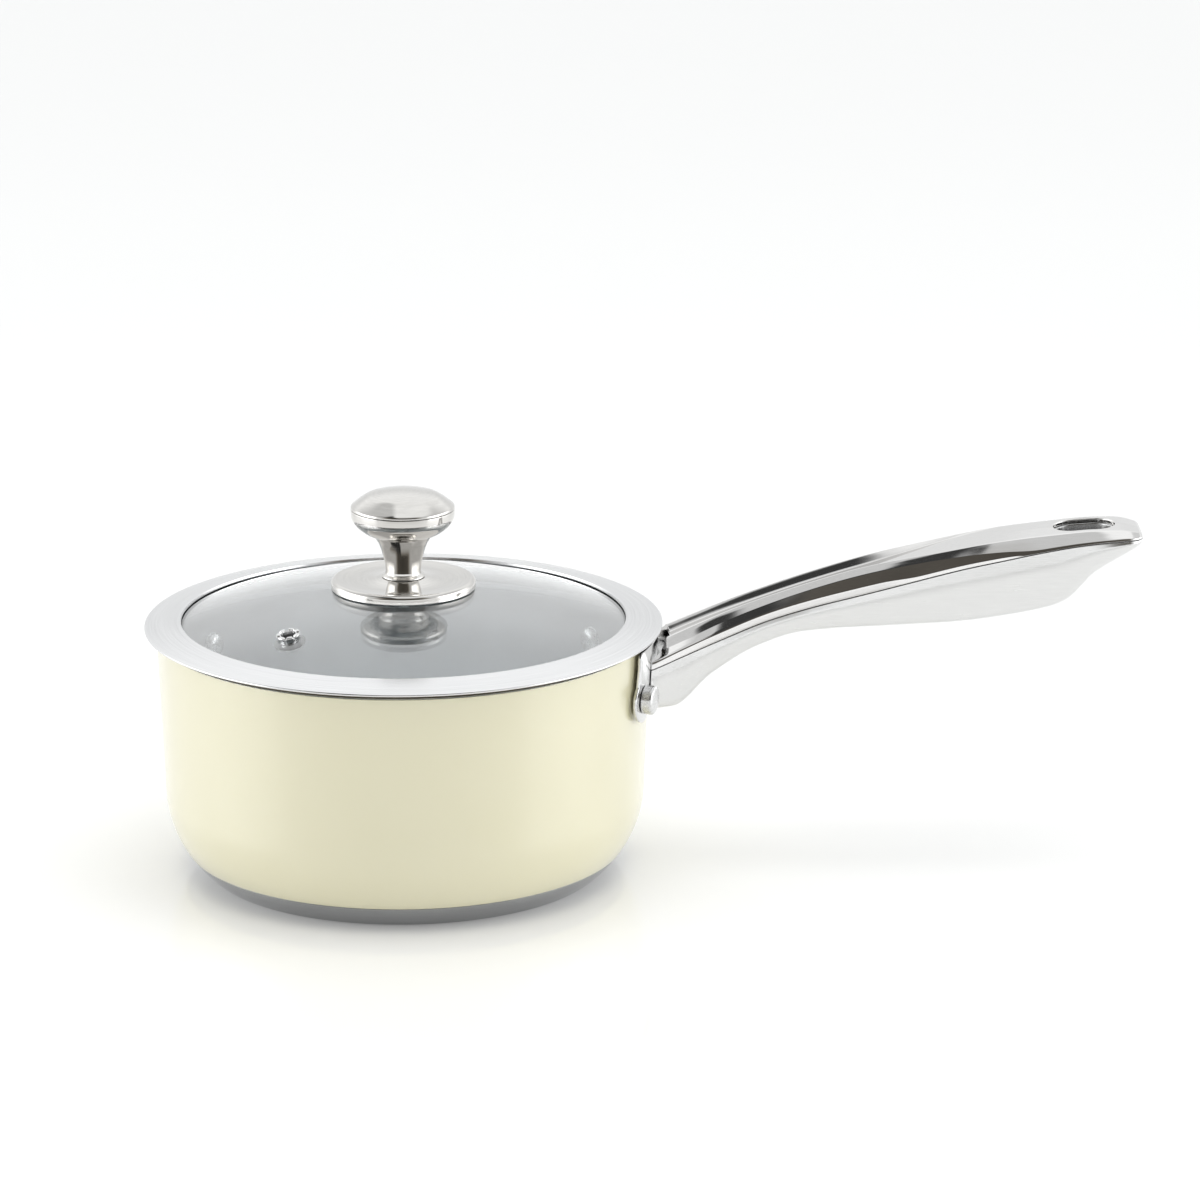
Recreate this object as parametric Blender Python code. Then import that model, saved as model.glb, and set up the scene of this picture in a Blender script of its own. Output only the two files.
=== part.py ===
"""An 18 cm saucepan with a glass lid and a hollow steel handle, as separate pieces.

Frame: the origin is the centre of the flat base's underside, +Z is up and +X runs along
the handle. Driving dimensions are in millimetres; meshes are made in metres.
"""
import math

import bmesh
import bpy
from mathutils import Matrix, Vector

MM = 0.001

# Facets round a full turn
FACETS_LARGE = 40
FACETS_KNOB = 24
FACETS_SMALL = 16

# Gaps between pieces that touch on the real object
GAP = 0.3
SKIN_GAP = 0.2

# Pan
BASE_RADIUS = 74.85
CORNER_RADIUS = 42.35
CORNER_CENTRE_RADIUS = 47.85
WALL_LEAN = math.radians(2.25)
WALL_THICKNESS = 0.8
SKIN_THICKNESS = 0.4
SKIN_SPLIT_HEIGHT = 8.6
CORE_TOP = 5.0
BODY_FLOOR_BOTTOM = 5.2
WALL_TOP = 91.0
LIP_RADIUS = 94.2
LIP_HEIGHT = 92.3
LIP_BEND = 1.2

# Studs inside the wall
STUD_LEFT_AZIMUTH = 147.0
STUD_RIGHT_AZIMUTH = 39.0
STUD_HEIGHT = 71.0
STUD_RADIUS = 5.0
STUD_DOME = 3.0
STUD_BACK_RADIUS = 89.6

# Bracket, spacers and rivets
RIVET_AZIMUTH = 18.0
RIVET_HEIGHT = 72.5
RIVET_SHANK = 2.5
RIVET_BORE = 2.8
RIVET_HEAD = 5.4
RIVET_HEAD_HEIGHT = 4.4
RIVET_INNER_HEAD = 5.6
SPACER_RADIUS = 6.5
SPACER_THICKNESS = 1.0
PLATE_STANDOFF = 1.4
PLATE_THICKNESS = 1.4
PLATE_TOP = 91.3
PLATE_BOTTOM = 66.0
PLATE_HALF_WIDTH = 34.0
EAR_RADIUS = 9.0

# Handle
SHEET = 1.2
ROOT_CLEARANCE = PLATE_STANDOFF + PLATE_THICKNESS + GAP
ROOT_SCALLOP_CENTRE = 68.2
ROOT_SCALLOP_RADIUS = 33.8
HOLE_CENTRE = 253.9
HOLE_HALF_LENGTH = 11.4
HOLE_HALF_WIDTH = 8.0
SLEEVE_WALL = 0.8

# Lid: ring, glass and vent
RING_BEAD_HEIGHT = 93.65
RING_BEAD_CENTRE = 96.5
RING_BEAD_RADIUS = 0.4
RING_INNER_RADIUS = 83.6
RING_INNER_TOP = 96.5
RING_SHEET = 0.6
GLASS_RADIUS = 86.9
GLASS_APEX = 108.8
GLASS_DOME_RADIUS = 257.0
GLASS_THICKNESS = 4.0
GLASS_KNOB_HOLE = 3.3
VENT_AZIMUTH = 229.0
VENT_DISTANCE = 61.5
VENT_HOLE = 3.5
VENT_TUBE = 3.2

# Knob, heights above the underside of the pan
KNOB_DISC_RADIUS = 26.7
KNOB_DISC_HEIGHT = 111.3
KNOB_WAIST_RADIUS = 6.6
KNOB_NECK_RADIUS = 10.8
KNOB_NECK_TOP = 127.5
KNOB_RADIUS = 19.4
KNOB_BAND_BOTTOM = 135.3
KNOB_BAND_TOP = 137.9
KNOB_APEX = 145.0
KNOB_SHEET = 0.9
INSERT_RADIUS = 4.2
SCREW_RADIUS = 2.0

# Handle guide curves: distance from the pan's axis, then the value there
CREST_CURVE = [(86, 86.0), (97, 90.2), (107, 94.7), (118, 99.4), (130, 104.0), (152, 111.6),
               (174, 118.1), (196, 122.9), (219, 127.4), (241, 130.3), (258, 131.9), (266, 132.0),
               (275, 130.6)]
CREST_WIDTH_CURVE = [(86, 8.8), (107, 8.2), (130, 7.4), (163, 7.6), (185, 8.8), (208, 10.4),
                     (223, 10.8), (262, 10.8), (270, 10.2), (275, 8.0)]
MIDDLE_CURVE = [(86, -2.8), (170, -2.8), (188, -1.9), (204, -0.9), (220, -0.1), (236, 0.5),
                (262, 0.5), (275, 0.2)]
SEAM_CURVE = [(86, 79.5), (97, 83.0), (115, 89.6), (135, 97.8), (152, 103.2), (170, 107.9),
              (185, 111.9), (208, 118.2), (223, 121.5), (238, 124.7), (253, 127.3), (264, 128.5),
              (275, 129.0)]
BOTTOM_CURVE = [(86, 65.0), (100.5, 65.0), (115, 76.6), (132, 87.4), (150, 93.1), (186, 95.2),
                (208, 96.7), (226, 99.2), (241, 102.4), (247, 105.0), (257, 115.6), (266, 122.0),
                (275, 127.2)]
HALF_WIDTH_CURVE = [(86, 23.0), (93, 22.0), (104, 18.0), (118, 14.4), (140, 13.2), (185, 13.7),
                    (208, 14.6), (262, 14.4), (270, 13.4), (275, 10.6)]
FACET_ACROSS_CURVE = [(86, 0.5), (107, 0.5), (163, 0.58), (193, 0.56), (208, 0.56), (223, 0.68),
                      (238, 0.88), (275, 0.88)]
FACET_DROP_CURVE = [(86, 0.42), (107, 0.42), (118, 0.36), (130, 0.32), (163, 0.24), (193, 0.28),
                    (208, 0.38), (223, 0.54), (238, 0.8), (253, 0.8), (275, 0.7)]
SIDE_DROP_CURVE = [(86, 0.6), (107, 0.63), (118, 0.66), (135, 0.65), (163, 0.68), (178, 0.7),
                   (193, 0.82), (208, 0.8), (223, 0.82), (238, 0.95), (275, 0.95)]
STATIONS = [86, 92, 98, 103, 108, 114, 121, 130, 141, 155, 175, 200, 222, 236, 243, 249, 256,
            262, 267, 271, 275]
FILLED_FROM = 266.5


def material(name, colour, metallic, roughness, transmission=0.0):
    """One Principled material."""
    made = bpy.data.materials.new(name)
    made.use_nodes = True
    shader = made.node_tree.nodes["Principled BSDF"]
    shader.inputs["Base Color"].default_value = (*colour, 1.0)
    shader.inputs["Metallic"].default_value = metallic
    shader.inputs["Roughness"].default_value = roughness
    shader.inputs["Transmission Weight"].default_value = transmission
    return made


def finish(mesh_data, name, look, matrix=None):
    """Turn a bmesh in millimetres into a named object in metres."""
    bmesh.ops.recalc_face_normals(mesh_data, faces=mesh_data.faces)
    bmesh.ops.scale(mesh_data, vec=(MM, MM, MM), verts=mesh_data.verts)
    mesh = bpy.data.meshes.new(name)
    mesh_data.to_mesh(mesh)
    mesh_data.free()
    mesh.shade_smooth()
    mesh.set_sharp_from_angle(angle=math.radians(35))
    made = bpy.data.objects.new(name, mesh)
    if look is not None:
        made.data.materials.append(look)
    if matrix is not None:
        made.matrix_world = Matrix.Scale(MM, 4) @ matrix @ Matrix.Scale(1 / MM, 4)
    bpy.context.scene.collection.objects.link(made)
    return made


def arc(centre, radius, start, end, steps):
    """Points on an arc in a plane, angles in degrees."""
    points = []
    for i in range(steps + 1):
        angle = math.radians(start + (end - start) * i / steps)
        points.append((centre[0] + radius * math.cos(angle), centre[1] + radius * math.sin(angle)))
    return points


def band(path, thickness):
    """The closed outline of a sheet of this thickness along an open path in a plane."""
    left = []
    right = []
    for i, point in enumerate(path):
        before = Vector(path[max(i - 1, 0)])
        here = Vector(point)
        after = Vector(path[min(i + 1, len(path) - 1)])
        directions = [d.normalized() for d in (here - before, after - here) if d.length > 1e-6]
        mean = sum(directions, Vector((0.0, 0.0))).normalized()
        normal = Vector((-mean.y, mean.x))
        reach = thickness / 2 / max(mean.dot(directions[0]), 0.5)
        left.append(tuple(here + normal * reach))
        right.append(tuple(here - normal * reach))
    return left + right[::-1]


def turned(name, section, look, facets=FACETS_LARGE, sweep=360.0, matrix=None):
    """Turn a closed (radius, height) section about Z, with a flat facing +X; a part turn,
    which lies evenly about +X, gets flat ends."""
    mesh_data = bmesh.new()
    steps = round(facets * sweep / 360.0)
    whole = sweep >= 360.0
    start = 180.0 / facets if whole else -sweep / 2
    rings = []
    for radius, height in section:
        if radius < 1e-6:
            rings.append([mesh_data.verts.new((0.0, 0.0, height))] * (steps + 1))
            continue
        ring = []
        for i in range(steps if whole else steps + 1):
            angle = math.radians(start + sweep * i / steps)
            ring.append(mesh_data.verts.new((radius * math.cos(angle), radius * math.sin(angle), height)))
        rings.append(ring + ring[:1] if whole else ring)
    for a, b in zip(rings, rings[1:] + rings[:1]):
        for i in range(steps):
            corners = list(dict.fromkeys((a[i], a[i + 1], b[i + 1], b[i])))
            if len(corners) > 2:
                mesh_data.faces.new(corners)
    if not whole:
        mesh_data.faces.new([ring[0] for ring in rings])
        mesh_data.faces.new([ring[-1] for ring in rings])
    return finish(mesh_data, name, look, matrix)


def prism(name, outline, low, high, look=None, matrix=None):
    """Extrude a closed (x, y) outline from one height to another."""
    mesh_data = bmesh.new()
    verts = [mesh_data.verts.new((x, y, low)) for x, y in outline]
    bottom = mesh_data.faces.new(verts)
    top = bmesh.ops.extrude_face_region(mesh_data, geom=[bottom])["geom"]
    lifted = [item for item in top if isinstance(item, bmesh.types.BMVert)]
    bmesh.ops.translate(mesh_data, vec=(0.0, 0.0, high - low), verts=lifted)
    return finish(mesh_data, name, look, matrix)


def as_cutter(tool):
    """Keep a guide body out of the finished object."""
    tool.hide_render = True
    tool.display_type = "WIRE"
    return tool


def cut(target, tool, operation="DIFFERENCE"):
    """Add a Boolean with this tool to the target."""
    step = target.modifiers.new(f"cut_{tool.name}", "BOOLEAN")
    step.operation = operation
    step.solver = "EXACT"
    step.object = tool


def smooth_curve(points):
    """A smooth function through the points, level or straight where they are."""
    slopes = [(b[1] - a[1]) / (b[0] - a[0]) for a, b in zip(points, points[1:])]
    tangents = [slopes[0]]
    for before, after in zip(slopes, slopes[1:]):
        tangents.append(2 * before * after / (before + after) if before * after > 0 else 0.0)
    tangents.append(slopes[-1])

    def value(x):
        x = min(max(x, points[0][0]), points[-1][0])
        i = next(k for k in range(len(slopes)) if x <= points[k + 1][0])
        (x0, y0), (x1, y1) = points[i], points[i + 1]
        width = x1 - x0
        t = (x - x0) / width
        return (y0 * (1 + 2 * t) * (1 - t) ** 2 + y1 * t * t * (3 - 2 * t)
                + width * (tangents[i] * t * (1 - t) ** 2 - tangents[i + 1] * t * t * (1 - t)))

    return value


# ---------------------------------------------------------------- pan profile

CORNER_CENTRE_HEIGHT = math.sqrt(CORNER_RADIUS ** 2 - (BASE_RADIUS - CORNER_CENTRE_RADIUS) ** 2)
WALL_FOOT = CORNER_CENTRE_HEIGHT - CORNER_RADIUS * math.sin(WALL_LEAN)
CORNER = (CORNER_CENTRE_RADIUS, CORNER_CENTRE_HEIGHT)


def wall_radius(height, inset):
    """Radius of the leaning wall's outer face, moved in along its normal."""
    foot = CORNER_CENTRE_RADIUS + CORNER_RADIUS * math.cos(WALL_LEAN)
    return foot + (height - WALL_FOOT) * math.tan(WALL_LEAN) - inset / math.cos(WALL_LEAN)


def corner_angle(height, inset):
    """Angle on the bottom corner's arc at this height, in degrees."""
    return math.degrees(math.asin((height - CORNER_CENTRE_HEIGHT) / (CORNER_RADIUS - inset)))


def corner_arc(low, high, inset, steps):
    """The bottom corner between two heights; None as high runs on to the straight wall."""
    start = corner_angle(low, inset)
    end = -math.degrees(WALL_LEAN) if high is None else corner_angle(high, inset)
    return arc(CORNER, CORNER_RADIUS - inset, start, end, steps)


def lip_path(inset):
    """Upper end of the wall sheet's middle line: the wall, its outward bend and the lip."""
    wall_end = (wall_radius(WALL_TOP, inset), WALL_TOP)
    bend = arc((wall_end[0] + LIP_BEND, LIP_HEIGHT - LIP_BEND), LIP_BEND, 180, 90, 2)
    return [wall_end] + bend[1:] + [(LIP_RADIUS, LIP_HEIGHT)]


def pan_body(look):
    outer_inset = SKIN_THICKNESS + SKIN_GAP
    middle_inset = outer_inset + WALL_THICKNESS / 2
    floor_middle = BODY_FLOOR_BOTTOM + WALL_THICKNESS / 2
    path = [(0.0, floor_middle)] + corner_arc(floor_middle, None, middle_inset, 5)
    path += lip_path(middle_inset)
    section = band(path, WALL_THICKNESS)
    on_axis = {0: (0.0, floor_middle + WALL_THICKNESS / 2),
               len(section) - 1: (0.0, floor_middle - WALL_THICKNESS / 2)}
    section = [on_axis.get(i, point) for i, point in enumerate(section)]
    return turned("pan_body", section, look)


def skin(name, low, high, look):
    """A layer on the outside of the pan; None as high takes it to the top of the wall."""
    outer = corner_arc(low, high, 0.0, 5)
    inner = corner_arc(low, high, SKIN_THICKNESS, 5)
    if high is None:
        outer.append((wall_radius(WALL_TOP, 0.0), WALL_TOP))
        inner.append((wall_radius(WALL_TOP, SKIN_THICKNESS), WALL_TOP))
    return turned(name, outer + inner[::-1], look)


def base_cap(look):
    outer = corner_arc(0.0, SKIN_SPLIT_HEIGHT - SKIN_GAP, 0.0, 3)
    inner = corner_arc(SKIN_THICKNESS, SKIN_SPLIT_HEIGHT - SKIN_GAP, SKIN_THICKNESS, 3)
    section = [(0.0, 0.0)] + outer + inner[::-1] + [(0.0, SKIN_THICKNESS)]
    return turned("base_cap", section, look)


def base_core(look):
    inset = SKIN_THICKNESS + SKIN_GAP
    side = corner_arc(inset, CORE_TOP, inset, 2)
    return turned("base_core", [(0.0, inset)] + side + [(0.0, CORE_TOP)], look)


# ------------------------------------------------- rivets, spacers and bracket

def wall_frame(azimuth, height):
    """A frame whose +Z is the wall's outward normal and whose origin is on the wall's face."""
    radius = wall_radius(height, 0.0) * math.cos(math.pi / FACETS_LARGE)
    turn = Matrix.Rotation(math.radians(azimuth), 4, "Z")
    tip = Matrix.Rotation(math.pi / 2 + WALL_LEAN, 4, "Y")
    return turn @ Matrix.Translation((radius, 0.0, height)) @ tip


def rivet(name, azimuth, look):
    inner_face = -(SKIN_THICKNESS + SKIN_GAP + WALL_THICKNESS + GAP)
    outer_face = PLATE_STANDOFF + PLATE_THICKNESS + SKIN_GAP
    top = outer_face + RIVET_HEAD_HEIGHT
    inner_dome = [(0.0, inner_face - 2.2), (RIVET_INNER_HEAD * 0.6, inner_face - 1.8),
                  (RIVET_INNER_HEAD, inner_face - 0.5), (RIVET_INNER_HEAD, inner_face)]
    shank = [(RIVET_SHANK, inner_face), (RIVET_SHANK, outer_face)]
    head = [(RIVET_HEAD, outer_face), (RIVET_HEAD, top - 1.2), (RIVET_HEAD - 0.4, top - 0.4),
            (RIVET_HEAD - 1.4, top), (0.0, top)]
    return turned(name, inner_dome + shank + head, look, FACETS_SMALL,
                  matrix=wall_frame(azimuth, RIVET_HEIGHT))


def rivet_spacer(name, azimuth, look):
    section = [(RIVET_BORE, SKIN_GAP), (SPACER_RADIUS, SKIN_GAP),
               (SPACER_RADIUS, SKIN_GAP + SPACER_THICKNESS), (RIVET_BORE, SKIN_GAP + SPACER_THICKNESS)]
    return turned(name, section, look, FACETS_SMALL, matrix=wall_frame(azimuth, RIVET_HEIGHT))


def rivet_drill(name, azimuth):
    section = [(0.0, -8.0), (RIVET_BORE, -8.0), (RIVET_BORE, 8.0), (0.0, 8.0)]
    return as_cutter(turned(name, section, None, FACETS_SMALL,
                            matrix=wall_frame(azimuth, RIVET_HEIGHT)))


def plate_outline():
    """The bracket's outline seen along the handle: a broad neck and two round ears."""
    ear_across = wall_radius(RIVET_HEIGHT, 0.0) * math.sin(math.radians(RIVET_AZIMUTH))
    squeeze = math.cos(math.radians(RIVET_AZIMUTH))
    ear = [(ear_across + (y - ear_across) * squeeze, z)
           for y, z in arc((ear_across, RIVET_HEIGHT), EAR_RADIUS, 40, -125, 8)]
    side = [(PLATE_HALF_WIDTH - 1.5, PLATE_TOP), (PLATE_HALF_WIDTH, PLATE_TOP - 1.5),
            (PLATE_HALF_WIDTH, PLATE_TOP - 6.0)]
    half = side + ear + [(20.0, PLATE_BOTTOM)]
    return half + [(-y, z) for y, z in reversed(half)]


def handle_bracket(look, drills):
    """A curved plate that stands off the wall, cut to its outline from a conical sheet."""
    low, high = 55.0, 100.0
    inner, outer = -PLATE_STANDOFF, -PLATE_STANDOFF - PLATE_THICKNESS
    section = [(wall_radius(low, inner), low), (wall_radius(low, outer), low),
               (wall_radius(high, outer), high), (wall_radius(high, inner), high)]
    plate = turned("handle_bracket", section, look, sweep=63.0)
    along_handle = Matrix(((0, 0, 1, 0), (1, 0, 0, 0), (0, 1, 0, 0), (0, 0, 0, 1)))
    outline = as_cutter(prism("bracket_outline", plate_outline(), 60.0, 120.0, matrix=along_handle))
    cut(plate, outline, "INTERSECT")
    for drill in drills:
        cut(plate, drill)
    return plate


def rest_stud(name, azimuth, look):
    section = [(0.0, 0.0), (STUD_RADIUS, 0.0), (STUD_RADIUS, 0.6)]
    section += [(STUD_RADIUS * math.cos(a), 0.6 + (STUD_DOME - 0.6) * math.sin(a))
                for a in (math.radians(30), math.radians(60))]
    section.append((0.0, STUD_DOME))
    turn = Matrix.Rotation(math.radians(azimuth), 4, "Z")
    inward = Matrix.Rotation(-math.pi / 2, 4, "Y")
    place = turn @ Matrix.Translation((STUD_BACK_RADIUS, 0.0, STUD_HEIGHT)) @ inward
    return turned(name, section, look, FACETS_SMALL, matrix=place)


# ---------------------------------------------------------------------- handle

CREST = smooth_curve(CREST_CURVE)
CREST_WIDTH = smooth_curve(CREST_WIDTH_CURVE)
MIDDLE = smooth_curve(MIDDLE_CURVE)
SEAM = smooth_curve(SEAM_CURVE)
BOTTOM = smooth_curve(BOTTOM_CURVE)
HALF_WIDTH = smooth_curve(HALF_WIDTH_CURVE)
FACET_ACROSS = smooth_curve(FACET_ACROSS_CURVE)
FACET_DROP = smooth_curve(FACET_DROP_CURVE)
SIDE_DROP = smooth_curve(SIDE_DROP_CURVE)


def top_outline(x):
    """Outer line of the upper shell at one station: side, facet, crest, channel and back."""
    half_width, crest, crest_width = HALF_WIDTH(x), CREST(x), CREST_WIDTH(x)
    across, drop, middle = half_width - crest_width, crest - SEAM(x), MIDDLE(x)
    foot = crest_width - 0.8 - 0.8 * max(-middle, 0.0)
    bulge = 1.0 if middle < 0 else 1 - (foot / crest_width) ** 2
    right = [(half_width, SEAM(x)), (half_width - 0.04 * across, crest - SIDE_DROP(x) * drop),
             (crest_width + FACET_ACROSS(x) * across, crest - FACET_DROP(x) * drop),
             (crest_width, crest), (foot, crest + middle * bulge)]
    return right + [(0.0, crest + middle)] + [(-y, z) for y, z in reversed(right)]


def bottom_outline(x, top):
    """Outer line of the lower shell at one station, from seam to seam under the belly."""
    half_width, floor = HALF_WIDTH(x), BOTTOM(x)
    height = top - floor
    radius = min(4.5, height * 0.5, half_width * 0.4)
    foot = half_width - min(height * 0.12, 3.0)
    belly = arc((foot - radius, floor + radius), radius, 0, -90, 3)
    right = [(half_width, top), ((half_width + foot) / 2 + 0.4, top - (height - radius) / 2)] + belly
    return right + [(-y, z) for y, z in reversed(right)]


def inner_line(outline, level):
    """The sheet's inner line; level, when given, fills the section up to that height."""
    count = len(outline)
    if level is not None:
        reach = outline[0][0] - SHEET
        return [(reach * (1 - 2 * i / (count - 1)), level) for i in range(count)]
    shifted = band(outline, 2 * SHEET)
    inner = shifted[:count] if abs(shifted[0][0]) < abs(outline[0][0]) else shifted[:count - 1:-1]
    seam = outline[0][1]
    keep = max if outline[count // 2][1] > seam else min
    return [(y, seam if i in (0, count - 1) else keep(z, seam)) for i, (y, z) in enumerate(inner)]


def lofted(name, sections, look):
    """Join closed (x, y, z) sections of equal length into one body with flat ends."""
    mesh_data = bmesh.new()
    rings = [[mesh_data.verts.new(point) for point in section] for section in sections]
    count = len(rings[0])
    for a, b in zip(rings, rings[1:]):
        for i in range(count):
            j = (i + 1) % count
            mesh_data.faces.new((a[i], a[j], b[j], b[i]))
    mesh_data.faces.new(rings[0])
    mesh_data.faces.new(rings[-1])
    return finish(mesh_data, name, look)


def shell_sections(upper):
    sections = []
    for x in STATIONS:
        seam = SEAM(x) if upper else SEAM(x) - GAP
        outline = top_outline(x) if upper else bottom_outline(x, seam)
        level = seam if x >= FILLED_FROM else None
        loop = outline + inner_line(outline, level)[::-1]
        sections.append([(x, y, z) for y, z in loop])
    return sections


def handle_envelope():
    """The handle's whole outer form, to trim the sleeve to."""
    sections = []
    for x in STATIONS:
        lower = bottom_outline(x, SEAM(x) - GAP)
        sections.append([(x, y, z) for y, z in top_outline(x) + lower[::-1]])
    return as_cutter(lofted("handle_envelope", sections, None))


def slot(inset):
    """Outline of the hanging hole, moved in by an amount."""
    radius = HOLE_HALF_WIDTH - inset
    shift = HOLE_HALF_LENGTH - HOLE_HALF_WIDTH
    return (arc((HOLE_CENTRE + shift, 0.0), radius, -90, 90, 7)
            + arc((HOLE_CENTRE - shift, 0.0), radius, 90, 270, 7))


def hanging_sleeve(look, envelope):
    sleeve = prism("hanging_sleeve", slot(SKIN_GAP), 90.0, 140.0, look)
    cut(sleeve, envelope, "INTERSECT")
    cut(sleeve, as_cutter(prism("sleeve_bore", slot(SKIN_GAP + SLEEVE_WALL), 80.0, 150.0)))
    return sleeve


def handle(steel):
    """Both shells and the sleeve, cut to the bracket, the lid's clearance and the hole."""
    reach = -ROOT_CLEARANCE
    root = as_cutter(turned("root_clearance", [(0.0, 40.0), (wall_radius(40.0, reach), 40.0),
                                               (wall_radius(140.0, reach), 140.0), (0.0, 140.0)], None))
    scallop_place = Matrix.Translation((ROOT_SCALLOP_CENTRE, 0.0, 0.0))
    scallop = as_cutter(turned("root_scallop", [(0.0, 70.0), (ROOT_SCALLOP_RADIUS, 70.0),
                                                (ROOT_SCALLOP_RADIUS, 120.0), (0.0, 120.0)],
                               None, matrix=scallop_place))
    hole = as_cutter(prism("hanging_hole", slot(0.0), 80.0, 150.0))
    top = lofted("handle_top_shell", shell_sections(True), steel)
    bottom = lofted("handle_bottom_shell", shell_sections(False), steel)
    for shell in (top, bottom):
        cut(shell, root)
        cut(shell, hole)
    cut(top, scallop)
    hanging_sleeve(steel, handle_envelope())


# ------------------------------------------------------------------------- lid

def glass_top(radius):
    """Height of the glass's upper face at this distance from the axis."""
    return GLASS_APEX - GLASS_DOME_RADIUS + math.sqrt(GLASS_DOME_RADIUS ** 2 - radius ** 2)


def glass_frame(distance, azimuth):
    """A frame on the glass's upper face whose +Z is the glass's outward normal."""
    turn = Matrix.Rotation(math.radians(azimuth), 4, "Z")
    tip = Matrix.Rotation(math.asin(distance / GLASS_DOME_RADIUS), 4, "Y")
    return turn @ Matrix.Translation((distance, 0.0, glass_top(distance))) @ tip


def lid_glass(look):
    radii = [GLASS_KNOB_HOLE, 20.0, 38.0, 53.0, VENT_DISTANCE, 69.0, GLASS_RADIUS]
    upper = [(r, glass_top(r)) for r in radii]
    lower = [(r, glass_top(r) - GLASS_THICKNESS) for r in reversed(radii)]
    glass = turned("lid_glass", upper + lower, look)
    drill = turned("vent_drill", [(0.0, -9.0), (VENT_HOLE, -9.0), (VENT_HOLE, 5.0), (0.0, 5.0)],
                   None, FACETS_SMALL, matrix=glass_frame(VENT_DISTANCE, VENT_AZIMUTH))
    cut(glass, as_cutter(drill))
    return glass


def lid_rim(look):
    """One rolled strip: top lip, bead, seat, then a skirt folded back up under the glass."""
    half = RING_SHEET / 2
    bead = arc((RING_BEAD_CENTRE, RING_BEAD_HEIGHT), RING_BEAD_RADIUS, 80, -90, 3)
    seat_height = RING_BEAD_HEIGHT - RING_BEAD_RADIUS
    turn_down = arc((90.5, seat_height - 0.8), 0.8, 90, 180, 1)
    fold = arc((89.1, 85.4), 0.55, 0, -180, 2)
    path = [(RING_INNER_RADIUS, RING_INNER_TOP - half)] + bead + turn_down
    path += fold + [(88.55, 88.2), (84.9, 88.2)]
    return turned("lid_rim", band(path, RING_SHEET), look)


def lid_gasket(look):
    """Silicone channel round the glass's edge, inside the ring."""
    clear = 0.15
    outer = GLASS_RADIUS + 1.1
    lip_slope = ((RING_INNER_TOP - RING_BEAD_HEIGHT - RING_BEAD_RADIUS)
                 / (RING_BEAD_CENTRE - RING_INNER_RADIUS))
    lip_under = RING_INNER_TOP - RING_SHEET - clear
    section = [(84.3, lip_under - 0.7 * lip_slope), (outer, lip_under - 4.6 * lip_slope),
               (outer, 88.65), (85.0, 88.65), (85.0, glass_top(85.0) - GLASS_THICKNESS - clear),
               (GLASS_RADIUS + clear, glass_top(GLASS_RADIUS) - GLASS_THICKNESS - clear),
               (GLASS_RADIUS + clear, glass_top(GLASS_RADIUS) + clear),
               (84.3, glass_top(84.3) + clear)]
    return turned("lid_gasket", section, look)


def vent_eyelet(look):
    under = -GLASS_THICKNESS - 1.1
    path_bore = VENT_TUBE - 0.5
    section = [(path_bore, under - 0.5), (5.6, under - 0.5), (5.6, under), (VENT_TUBE, under),
               (VENT_TUBE, GAP), (4.2, GAP), (4.5, 0.9), (3.9, 1.6), (path_bore + 0.5, 1.6),
               (path_bore, 1.1)]
    return turned("vent_eyelet", section, look, FACETS_SMALL,
                  matrix=glass_frame(VENT_DISTANCE, VENT_AZIMUTH))


def vent_washer(look):
    top = -GLASS_THICKNESS - GAP
    section = [(VENT_HOLE, top - 0.7), (5.8, top - 0.7), (5.8, top), (VENT_HOLE, top)]
    return turned("vent_washer", section, look, FACETS_SMALL,
                  matrix=glass_frame(VENT_DISTANCE, VENT_AZIMUTH))


# ------------------------------------------------------------------------ knob

def knob_base_disc(look):
    """A steel saucer raised under the neck, with a turned-down edge."""
    rim = arc((KNOB_DISC_RADIUS - 1.3, KNOB_DISC_HEIGHT - 1.9), 1.3, 95, 0, 2)
    path = [(2.8, KNOB_DISC_HEIGHT), (8.5, KNOB_DISC_HEIGHT), (12.0, KNOB_DISC_HEIGHT - 0.65),
            (17.5, KNOB_DISC_HEIGHT - 1.1)]
    path += rim + [(KNOB_DISC_RADIUS, glass_top(KNOB_DISC_RADIUS) + GAP)]
    return turned("knob_base_disc", band(path, 0.7), look, FACETS_KNOB)


def knob_stem(look):
    """Foot, waist, flaring neck, bowl-shaped underside and grip band, bored for the insert."""
    foot = KNOB_DISC_HEIGHT + 0.35 + SKIN_GAP
    outer = [(8.2, foot), (7.6, foot + 0.7), (KNOB_WAIST_RADIUS, foot + 1.8), (6.8, foot + 4.5),
             (7.3, foot + 7.0), (9.1, foot + 12.8), (KNOB_NECK_RADIUS, KNOB_NECK_TOP),
             (14.0, 129.0), (16.5, 130.8), (18.5, 133.0), (KNOB_RADIUS, KNOB_BAND_BOTTOM),
             (KNOB_RADIUS, KNOB_BAND_TOP)]
    inner = [(18.5, KNOB_BAND_TOP), (18.5, 135.5), (17.6, 133.4), (15.7, 131.6), (13.3, 130.1),
             (10.2, 128.7), (8.2, 124.0), (7.0, foot + 11.6), (INSERT_RADIUS + GAP, foot + 10.8),
             (INSERT_RADIUS + GAP, foot)]
    return turned("knob_stem", outer + inner, look, FACETS_KNOB)


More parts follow.
